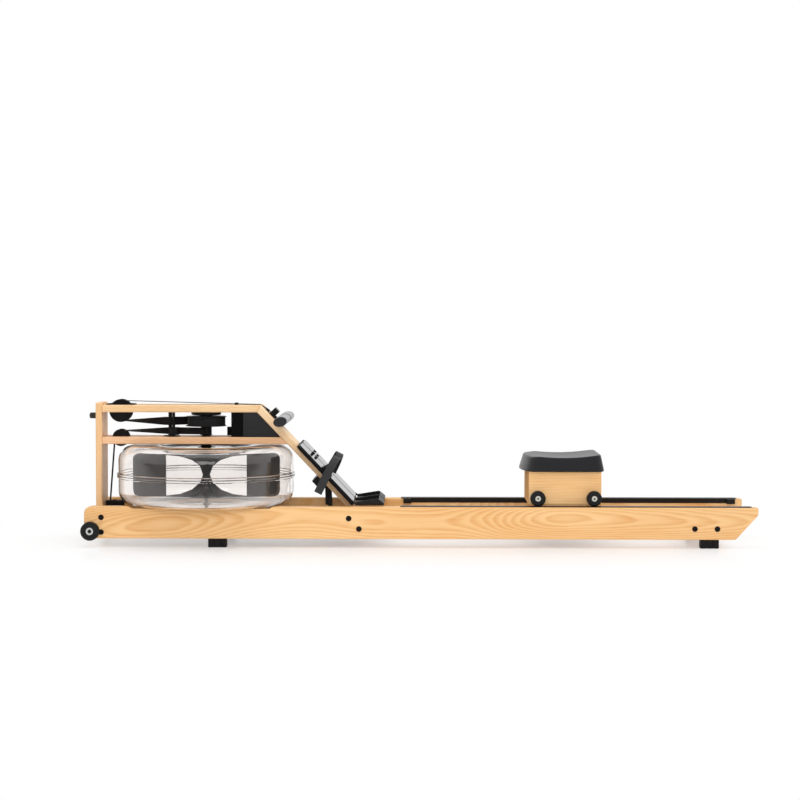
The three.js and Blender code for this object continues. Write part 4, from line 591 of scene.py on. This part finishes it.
def strap_solid(centres, across, width, thickness):
    """A strap along a line of centres: at each one a flat oval section, whose width lies along across and
    whose thickness is square to it and to the line. One direction across may serve for all. Returns points,
    faces and the map in metres."""
    across = np.broadcast_to(across, centres.shape)
    tangent = np.gradient(centres, axis=0)
    through = np.cross(tangent, across)
    through /= np.linalg.norm(through, axis=1, keepdims=True)
    angle, round_power = np.linspace(0, 2 * np.pi, 16, endpoint=False), 0.3
    wide = np.sign(np.cos(angle)) * np.abs(np.cos(angle)) ** round_power * width / 2
    thick = np.sign(np.sin(angle)) * np.abs(np.sin(angle)) ** round_power * thickness / 2
    points = centres[:, None] + wide[:, None] * across[:, None] + thick[:, None] * through[:, None]
    along = np.concatenate([[0], np.cumsum(np.linalg.norm(np.diff(centres, axis=0), axis=1))])
    uv = np.stack(np.broadcast_arrays(along[:, None] * mm, wide * mm), -1)
    rows, count = points.shape[:2]
    faces = grid_faces(rows, count, False, True).tolist()
    return points, faces + [list(range(count)), list(range((rows - 1) * count, rows * count))], uv


def strap_piece(name, centres, across, width, thickness, material, replaced, body="frame"):
    """One strap as a piece that stands for its CAD node."""
    points, faces, uv = strap_solid(centres, across, width, thickness)
    return make_piece(name, points, faces, material, body, "webbing", replaced, uv, crease=50)


def wrap_line(centre, radius, start, stop, steps=28):
    """Points of an arc in X and Z round a centre, between two angles from +X towards +Z."""
    angle = np.linspace(start, stop, steps)
    x, z = centre[0] + radius * np.cos(angle), centre[1] + radius * np.sin(angle)
    return np.stack([x, np.zeros(steps), z], 1)


def run_to_reel(start, level, post_x, post_radius, side, reel_radius):
    """From a pulley to the reel: straight to the guide post while the strap turns from flat to upright, so
    that its height seen from the side grows steadily (turn = arcsin of the way gone, eased at its end),
    round the post, and on in a straight line that touches the reel."""
    turned_at, steep, eased = 0.93, 0.98, 6
    share = np.linspace(0, 1, 60)[:, None]
    part = np.clip(share / turned_at, 0, 1)
    turn = np.arcsin(steep * part) + (quarter - np.arcsin(steep)) * part ** eased
    straight = np.array([start[0], 0, start[1]]) * (1 - share) + np.array([post_x, 0, level]) * share
    leaning = np.hstack([0 * turn, np.cos(turn), np.sin(turn)])
    reach = reel_middle[0] - post_x
    bend = (np.arcsin((reel_radius + post_radius) / np.hypot(reach, post_radius))
            - np.arctan2(post_radius, reach))
    angle = np.linspace(0, bend, 6)
    round_post = np.stack([post_x + post_radius * np.sin(angle), side * post_radius * (1 - np.cos(angle)),
                           np.full(6, level)], 1)
    touch = (reel_middle[0] - reel_radius * np.sin(bend), side * reel_radius * np.cos(bend), level)
    ahead = np.vstack([round_post, touch])
    return np.vstack([straight[:-1], ahead]), np.vstack([leaning[:-1], np.tile([0, 0, 1.0], (len(ahead), 1))])


web = web_cloth("polyester_webbing", "#141415", "#262627", 2.4)
strap_width, strap_thickness, recoil_width = 26, 1.6, 22
turns, turn_pitch, turn_steps = 6, 2.2, 60
guide_post, corner_roller = 6, 9
half_gap = strap_thickness / 2 + gap
top_middle, deck_middle = centre_of("upper_pulley")[0], centre_of("lower_pulley")[0]
upper_corner_middle = centre_of("corner_roller_upper")[0]
lower_corner_middle = centre_of("corner_roller_lower")[0]
winding_radius = drum_rim - strap_thickness / 2 - 1.5 * turn_pitch
drum_level = (drum_low + reel_high[2]) / 2
top_wrap = top_groove + half_gap
front_post_x, rear_post_x = -787 + rail_shift, -773 + rail_shift
run_centres, run_across = run_to_reel((top_middle[0], top_middle[2] - top_wrap), drum_level, front_post_x,
                                      guide_post + half_gap, 1, winding_radius + strap_thickness + gap)
corner_wrap = corner_roller + half_gap
upper_at, lower_at = upper_corner_middle[[0, 2]], lower_corner_middle[[0, 2]]
dip = np.arctan2(top_middle[2] + top_wrap - upper_at[1] - corner_wrap, upper_at[0] - top_middle[0])
fall = np.arctan2(upper_at[1] - lower_at[1], lower_at[0] - upper_at[0])
over = np.vstack([wrap_line(top_middle[[0, 2]], top_wrap, 3 * quarter, quarter - dip)[1:],
                  wrap_line(upper_at, corner_wrap, quarter - dip, quarter - fall, 8),
                  wrap_line(lower_at, corner_wrap, quarter - fall, quarter - slope_angle, 8)])
strap_piece("drive_webbing", np.vstack([run_centres[::-1], over]),
            np.vstack([run_across[::-1], np.tile([0, 1.0, 0], (len(over), 1))]),
            strap_width, strap_thickness, web, ("drive_strap",))
deck_wrap = deck_groove + half_gap
recoil_end, cord_start = 315.8, 315.5
recoil_centres, recoil_across = run_to_reel(
    (deck_middle[0], deck_middle[2] + deck_wrap), (roller_low[2] + roller_high[2]) / 2, rear_post_x,
    roller_core + half_gap, -1, recoil_core + strap_thickness + gap)
down = np.vstack([wrap_line(deck_middle[[0, 2]], deck_wrap, quarter, 2 * quarter)[1:],
                  [(deck_middle[0] - deck_wrap, 0, recoil_end)]])
strap_piece("recoil_webbing", np.vstack([recoil_centres[::-1], down]),
            np.vstack([recoil_across[::-1], np.tile([0, 1.0, 0], (len(down), 1))]),
            recoil_width, strap_thickness, web, ("recoil_strap",))
coil_turn = np.linspace(0, turns, turns * turn_steps + 1)
coil_angle = quarter - coil_turn * 2 * np.pi
coil_radius = winding_radius - turn_pitch * coil_turn
coil = np.stack([reel_middle[0] + coil_radius * np.cos(coil_angle), coil_radius * np.sin(coil_angle),
                 np.full(len(coil_angle), drum_level)], 1)
strap_piece("wound_webbing", coil, (0, 0, 1.0), strap_width, strap_thickness, web, ("strap_winding",), "reel")

# A small nylon bridge on the top board keeps the drive strap in its place before the corner.

board_top = centre_of("top_board")[2][2]
keeper_x, keeper_half, keeper_arch, keeper_power, keeper_steps = -576 + rail_shift, 16, 2.2, 0.35, 25
bow = np.linspace(0, np.pi, keeper_steps)
strap_rise = (top_middle[2] + top_wrap) + (upper_at[1] + corner_wrap - top_middle[2] - top_wrap) * (
    (keeper_x - top_middle[0]) / (upper_at[0] - top_middle[0]))
keeper_y = keeper_half * np.sign(np.cos(bow)) * np.abs(np.cos(bow)) ** keeper_power
inner_rise = strap_rise + strap_thickness - board_top
inner_z = board_top + inner_rise * np.sin(bow) ** keeper_power
outer_z = board_top + (inner_rise + keeper_arch) * np.sin(bow) ** keeper_power
outer_y = keeper_y * (1 + keeper_arch / keeper_half)
keeper_rows = []
for row_x, grow in ((-5, -0.6), (-4.4, 0), (4.4, 0), (5, -0.6)):
    row_place = np.full(keeper_steps, keeper_x + row_x)
    outer_row = np.stack([row_place, outer_y, outer_z + grow], 1)
    keeper_rows.append(np.vstack([outer_row, np.stack([row_place, keeper_y, inner_z], 1)[::-1]]))
keeper_rows = np.array(keeper_rows)
keeper_rows[:, :, 2] = np.maximum(keeper_rows[:, :, 2], board_top + 0.05)
ring_count = 2 * keeper_steps
keeper_faces = grid_faces(len(keeper_rows), ring_count, False, True).tolist()
for first in (0, 3 * ring_count):
    keeper_faces += [[first + k, first + k + 1, first + ring_count - 2 - k, first + ring_count - 1 - k]
                     for k in range(keeper_steps - 1)]
make_piece("strap_keeper", keeper_rows, keeper_faces, moulded_black, "frame", "black_plastic")

# The short run from the corner roller through the fairlead to the handle's tongue. It lengthens as the
# handle is pulled, so it is left on neither the frame nor the handle.

lead_low, lead_high = centre_of("drive_strap_lead")[1:]
lead_start = np.array([lead_low[0] + 0.6, 0, lead_high[2] - 0.7])
lead_end = np.array([lead_high[0] - 0.6, 0, lead_low[2] + 0.7])
lead_line = lead_start + (lead_end - lead_start) * np.linspace(0, 1, 24)[:, None]
lead = strap_piece("lead_webbing", lead_line, (0, 1.0, 0), strap_width, strap_thickness, web,
                   ("drive_strap_lead",))
lead.parent = None
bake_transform(lead)

# The fairlead that guides the strap on the strut, and the two side panels that close the arch's corner:
# glossy and matt black mouldings.

# Polished mould: the fairlead shines
gloss_black = grained("glossy_black_plastic", "#111112", 0.26, 3.0, 0.05, Specular_IOR_Level=0.3)
dress(gloss_black, "strap_fairlead")
# ABS sheet with a fine leather-like texture, charcoal
charcoal = grained("charcoal_abs_sheet", "#2B2B2C", 0.6, 1.8, Specular_IOR_Level=0.25)
dress(charcoal, "side_panel_left", "side_panel_right")
# Moulded polypropylene, the blackest of the plastics, for the sensor's box and the board under the feet
deep_black = grained("black_polypropylene", "#09090A", 0.5, 1.5, Specular_IOR_Level=0.15)
dress(deep_black, "sensor_box", "footboard")
# Black anodised aluminium: the seat's tracks are drawn profiles, with faint lines along them
anodised_black = grained("black_anodised_aluminium", "#171310", 0.42, 1.2, 0.03, (0.03, 1, 1),
                         Specular_IOR_Level=0.3)
dress(anodised_black, "seat_track_left", "seat_track_right")
# The footplates are polished where the shoe slides, the heel cups matt for grip
plate_black = grained("footplate_nylon", "#121213", 0.2, 1.5, 0.04, Specular_IOR_Level=0.4)
plate_tree = plate_black.node_tree
plate_place = object_place(plate_tree)
paint(plate_tree, "Roughness",
      rescaled(plate_tree, along_axis(plate_tree, plate_place, "X"), -205 * mm, -198 * mm, 0.1, 0.5))
dress(plate_black, "heel_rest_left", "heel_rest_right")

# The handle: an oval bar wrapped in rubber sleeves, drawn pale grey with a painted sheen, with dark end caps
# and a black yoke round its middle that the strap is sewn to.

# Thermoplastic rubber, satin and slightly grainy, drawn pale grey: the grey paints a sheen onto darker rubber;
# the caps are charcoal nylon
grip_rubber = grained("grip_rubber_painted_sheen", "#9C9C9F", 0.42, 1.4, Specular_IOR_Level=0.35)
cap_black = grained("end_cap_nylon", "#28282B", 0.38, 1.4, Specular_IOR_Level=0.3)
grip_middle, grip_high = centre_of("handle_grip")[::2]
grip_half, cap_length, tilt = grip_high[1], 9, np.radians(13)
grip_round, oval = 80, (15.5 / 21.5, 1)


def oval_points(profile):
    """A profile turned about Y round the grip's middle, made oval and tilted by the handle's tilt."""
    points = turned_points(profile, (0, 0, 0), "Y", grip_round, oval)
    x, z = points[..., 0].copy(), points[..., 2].copy()
    points[..., 0] = x * np.cos(tilt) - z * np.sin(tilt)
    points[..., 2] = x * np.sin(tilt) + z * np.cos(tilt)
    return points + grip_middle


sleeve = softened([(0, -grip_half + cap_length), (20.6, -grip_half + cap_length), (21.5, -grip_half + 12),
                   (22.1, -70), (21.5, -16.4), (18.6, -16), (18.6, 16), (21.5, 16.4), (22.1, 70),
                   (21.5, grip_half - 12), (20.6, grip_half - cap_length), (0, grip_half - cap_length)], 1.5)
make_piece("grip_sleeve", oval_points(sleeve), grid_faces(len(sleeve), grip_round, False, True), grip_rubber,
           "handle", "grip_rubber", ("handle_grip",))
caps = []
for side in (-1, 1):
    cap = softened([(0, grip_half - cap_length + 0.05), (21, grip_half - cap_length + 0.05),
                    (21, grip_half - 3), (18.4, grip_half - 0.4), (5, grip_half), (0, grip_half)], 1.2)
    caps.append((oval_points(cap * (1, side)), grid_faces(len(cap), grip_round, False, True)))
make_piece("grip_caps", *combine(*caps), cap_black, "handle", "grip_rubber")
dress(moulded_black, "handle_yoke")

# The elastic cord that pulls the strap back: a rubber core in a braided cover, held all along. It hangs
# from the recoil strap, turns round the cord pulley and runs under the tank to the foot brace.


def braid(name, colour, strands, pitch):
    """A braided polyester cover: two sets of strands cross on the cord's own map, which holds the distance
    along it and round it in metres. Each set is a wave: sin(along / pitch + or - round / girth * strands).
    Where the strands stand high they are painted lighter grey, a painted highlight, and the hollows between
    them stay dark as painted shade."""
    made = plain_material(name, colour, 0.75, Specular_IOR_Level=0.2)
    tree = made.node_tree
    place = add_node(tree, "ShaderNodeUVMap", uv_map="UVMap").outputs[0]
    turns_along, turns_round = 2 * np.pi / (pitch * mm), strands / (cord_radius * mm)
    slants = [(turns_along, way * turns_round, 0) for way in (1, -1)]
    waves = [calculate(tree, "SINE", vector_step(tree, "DOT_PRODUCT", place, slant)) for slant in slants]
    height = rescaled(tree, calculate(tree, "MULTIPLY", *waves), -1.0, 1.0)
    # Painted highlight on the braid's crests, painted shade in its hollows
    paint(tree, "Base Color", mixed_colour(tree, height, linear(colour), linear("#2C2C2E")))
    lift(tree, height, 0.6, 0.4)
    return made


cord_radius = 2.7
cord_wrap = cord_groove + cord_radius + gap
slope_sine, slope_cosine = np.sin(slope_angle), np.cos(slope_angle)
strut_x, strut_thickness, strut_top = -506, 22, 412
face_x = strut_x + strut_thickness / slope_sine + rail_shift


def from_slope(points):
    """Places on the strut, down it, across and out of its face, turned into the machine's own."""
    points = np.asarray(points, float)
    return np.stack([face_x + points[..., 0] * slope_cosine + points[..., 2] * slope_sine, points[..., 1],
                     strut_top - points[..., 0] * slope_sine + points[..., 2] * slope_cosine], -1)


cord_middle = centre_of("bungee_pulley")[0]
brace_along, brace_below = 435, 47.3
cord_end = from_slope((brace_along, 0, -brace_below))
cord_fall = np.arctan2(cord_end[0] - cord_middle[0], cord_middle[2] - cord_wrap - cord_end[2])
cord_turn = wrap_line(cord_middle[[0, 2]], cord_wrap, 2 * quarter, 4 * quarter - cord_fall, 24)
cord_line = np.vstack([[(deck_middle[0] - deck_wrap, 0, cord_start)], cord_turn, [cord_end]])
cord_ahead = np.gradient(cord_line, axis=0)
cord_out = np.cross(cord_ahead, (0, 1.0, 0))
cord_out /= np.linalg.norm(cord_out, axis=1, keepdims=True)
cord_sides = 17
cord_angle = np.linspace(0, 2 * np.pi, cord_sides)
cord_points = (cord_line[:, None] + cord_radius * np.cos(cord_angle)[:, None] * cord_out[:, None]
               + cord_radius * np.sin(cord_angle)[:, None] * np.array([0, 1.0, 0]))
cord_along = np.concatenate([[0], np.cumsum(np.linalg.norm(np.diff(cord_line, axis=0), axis=1))])
cord_uv = np.stack(np.broadcast_arrays(cord_along[:, None] * mm, cord_angle * cord_radius * mm), -1)
cord_last = (len(cord_line) - 1) * cord_sides
cord_faces = grid_faces(len(cord_line), cord_sides).tolist()
cord_faces += [list(range(cord_sides - 1)), list(range(cord_last, cord_last + cord_sides - 1))]
make_piece("elastic_cord", cord_points, cord_faces, braid("braided_cord_cover", "#0E0E10", 4, 9), "frame",
           "black_rubber", ("bungee_cord",), cord_uv, crease=60)

# Rubber feet, moulded with three lobes and screwed under the rails.

dress(soft_black, "rubber_foot_front_left", "rubber_foot_front_right", "rubber_foot_rear_left",
      "rubber_foot_rear_right")

# Wheels. The transport wheels are hard rubber on a grey hub with a dark bolt. The seat wheels have a
# black polyurethane tyre, a pale hub and the steel end of their axle.

# Tyres: hard rubber in front, polyurethane under the seat, both turned smooth. Hubs: grey nylon, and pale
# zinc-plated bearing shields with the marks of their pressing
tyre_black = grained("tyre_rubber", "#121213", 0.5, 1.6, Specular_IOR_Level=0.3)
hub_grey = grained("grey_nylon_hub", "#BDBDBB", 0.35, 1.0, 0.05)
hub_cream = grained("zinc_bearing_shield", "#CFCDC4", 0.32, 0.8, 0.05, Metallic=0.3)


def wheel(name, body, hub, hub_radius, bolt_radius, tread):
    """A wheel about Y in the space of its CAD node, seen from its outer face: tyre, hub ring and bolt. The
    node and its body share one name."""
    middle, low, high = centre_of(body)
    side = np.sign(middle[1])
    outer = high[1] if side > 0 else -low[1]
    radius = (high[2] - low[2]) / 2
    inner, stub = outer - tread, outer - (high[1] - low[1])
    centre = (middle[0], 0, middle[2])
    tyre = softened([(0, stub), (4.2, stub), (4.2, inner), (radius - 9, inner), (radius - 5, inner + 0.8),
                     (radius - 3, inner), (radius, inner + 3), (radius, outer - 3.5), (radius - 3.5, outer),
                     (hub_radius + 3.5, outer - 0.6), (hub_radius + 1.5, outer - 2.4),
                     (hub_radius, outer - 2.4), (0, outer - 2.4)], 1.1)
    turn_piece(f"{name}_tyre", tyre * (1, side), centre, "Y", tyre_black, body, "black_rubber", (body,), 96)
    ring = softened([(0, outer - 2.5), (hub_radius, outer - 2.5), (hub_radius, outer - 1.2),
                     (hub_radius - 1, outer - 0.5), (bolt_radius + 1.6, outer - 0.9),
                     (bolt_radius + 0.8, outer - 1.6), (0, outer - 1.6)], 0.4)
    turn_piece(f"{name}_hub", ring * (1, side), centre, "Y", hub, body, "steel", (), 64)
    bolt = softened([(0, outer - 1.7), (bolt_radius, outer - 1.7), (bolt_radius, outer - 0.5),
                     (bolt_radius - 0.8, outer - 0.1), (bolt_radius * 0.5, outer - 0.1),
                     (bolt_radius * 0.45, outer - 1.2), (0, outer - 1.2)], 0.3)
    turn_piece(f"{name}_bolt", bolt * (1, side), centre, "Y", black_oxide, body, None, (), 32)


for hand in ("left", "right"):
    wheel(f"transport_{hand}", f"transport_wheel_{hand}", hub_grey, 11.4, 5.5, 22)
    for end in ("front", "rear"):
        wheel(f"seat_{end}_{hand}", f"seat_wheel_{end}_{hand}", hub_cream, 8.6, 2.6, 25)

# The seat box, glued up from ash boards, with its grain along the machine.

dress(oiled_ash("oiled_ash_seat_box", (0, 0, 0), (0.19, -0.33), "#F9CF98", "#DE9F5E", 0.6, 0.07, 0), "seat_box")

# The seat pad: integral-skin polyurethane foam moulded on a plywood base. The saddle dips across the
# middle, rises at the back, droops in front, and its sides flare down to a crisp lower edge.

pad_low, pad_high = centre_of("seat_pad")[1:]
swell = 25
pad_half = (pad_high - pad_low - (swell, 0, 0)) / 2
pad_middle = pad_high - pad_half
pad_height, rear_rise, hollow_depth, front_drop, front_share = 54, 4, 14, 15, 0.17


def pad_top(x, y):
    """Height of the saddle over the base, from shares along (0 in front, 1 at the back) and across (-1 to
    1): a sine dip that fades a little towards the sides, a steady rise, and a square-law droop of the front
    corners, where the thighs pass."""
    nose = np.maximum(0, front_share - x) / front_share
    hollow = hollow_depth * np.sin(np.pi * np.clip(x, 0, 1)) * (1 - 0.4 * y * y)
    return pad_height - rear_rise + rear_rise * x - hollow - front_drop * nose * nose * y * y


def rounded_plan(share, around, inset):
    """A rounded rectangle: a superellipse of power 11 round the pad's middle, drawn in by inset, at a share
    of its size. Its front edge swells forward by a square law between the corners."""
    c, s, power = np.cos(around), np.sin(around), 2 / 11
    x = share * np.sign(c) * np.abs(c) ** power * (pad_half[0] - inset)
    y = share * np.sign(s) * np.abs(s) ** power * (pad_half[1] - inset)
    ahead, beside = np.maximum(0, -x) / pad_half[0], y / pad_half[1]
    return x, y, pad_middle[0] + x - swell * ahead * ahead * (1 - beside * beside)


pad_facets, crowding = 200, 0.24
around = np.linspace(0, 2 * np.pi, pad_facets, endpoint=False)
around = (around - crowding * np.sin(4 * around))[None, :]
# Rings of the pad: the share of its size, how far it is drawn in, and the share of its height. The first
# lie on top, then come the rounded rim, the flaring side and the underside
top_rings = [(share, 13, 1) for share in (0, 0.2, 0.4, 0.6, 0.75, 0.86, 0.93, 0.97)]
rings = np.array(top_rings + [
    (0.99, 13, 0.997), (1, 12.4, 0.99), (1, 11, 0.972), (1, 9.9, 0.945), (1, 9, 0.9), (1, 6.9, 0.72),
    (1, 4.6, 0.5), (1, 2.4, 0.3), (1, 0.7, 0.14), (1, 0.1, 0.08), (1, 0.1, 0.04), (1, 1.0, 0.0), (0.9, 2, 0),
    (0.5, 2, 0), (0, 2, 0)])
plan_x, pad_y, pad_x = rounded_plan(rings[:, :1], around, rings[:, 1:2])
share_x = plan_x / pad_half[0] / 2 + 0.5
share_y = pad_y / pad_half[1]
pad_z = pad_low[2] + pad_top(share_x, share_y) * rings[:, 2:3]
# Integral skin on polyurethane foam: charcoal, satin, with the fine pebble of the mould drawn 2.4 mm wide
pad_skin = plain_material("foam_skin", "#242426", 0.33, Specular_IOR_Level=0.22)
pad_tree = pad_skin.node_tree
pad_place = object_place(pad_tree)
pebbles = add_node(pad_tree, "ShaderNodeTexVoronoi", {"Vector": pad_place, "Scale": 420.0})
lift(pad_tree, pebbles.outputs["Distance"], 0.15, 0.3)
pad_faces = grid_faces(len(rings), pad_facets, False, True)
pad = make_piece("saddle_pad", np.stack([pad_x, pad_y, pad_z], -1), pad_faces, pad_skin, "seat", "pad_foam",
                 ("seat_pad",), crease=70)

# The foot straps: black webbing that comes up beside each footplate, slants over the foot and lands
# inside it. The left strap's tail hangs outside the footboard, the right one's behind it.

# The foot straps' webbing is drawn lighter than the drive strap's, a painted sheen, and its crests lighter
# still
foot_web = web_cloth("foot_webbing_painted_sheen", "#262627", "#48484A", 2.4)
lean = np.radians(20)
strap_rises = np.array([-np.sin(lean), 0, np.cos(lean)])
strap_across = np.array([np.cos(lean), 0, np.sin(lean)])
foot_width, foot_thickness, foot_outer, foot_inner = 25, 2.2, 156, 26
foot_rise, strap_along, slant, arch_power = 58, 268, 10, 0.75
board_thickness, plate_thickness = 9, 3
strap_base = gap + board_thickness + gap + plate_thickness + gap
arch_angle = np.linspace(0, np.pi, 60)
arch_up = foot_rise * np.sin(arch_angle) ** arch_power
arch_up = np.where(arch_angle > quarter, np.maximum(arch_up, foot_width / 2 * np.tan(lean)), arch_up)
arch_y = (foot_outer + foot_inner) / 2 + (foot_outer - foot_inner) / 2 * np.cos(arch_angle)
arch_shift = slant / 2 * (1 - np.cos(arch_angle))
arch_up = arch_up - arch_shift * np.tan(lean)
tails = {"left": [(foot_outer, -66, 0), (foot_outer, -40, 0), (foot_outer, -14, 0)],
         "right": [(122, -114, 49), (122, -82, 32), (122, -50, 14), (139, -35, 7), (foot_outer, -20, 0)]}
for side, hand in ((-1, "left"), (1, "right")):
    steps = np.vstack([tails[hand], np.stack([arch_y, arch_up, arch_shift], 1)])
    line = np.array([strap_along, 0, strap_base]) + steps[:, 1:2] * strap_rises + steps[:, 2:3] * strap_across
    line[:, 1] = side * steps[:, 0]
    across = from_slope(np.array([strap_across])) - from_slope(np.zeros((1, 3)))
    strap_piece(f"foot_webbing_{hand}", from_slope(line), across, foot_width, foot_thickness, foot_web,
                (f"foot_strap_{hand}",))
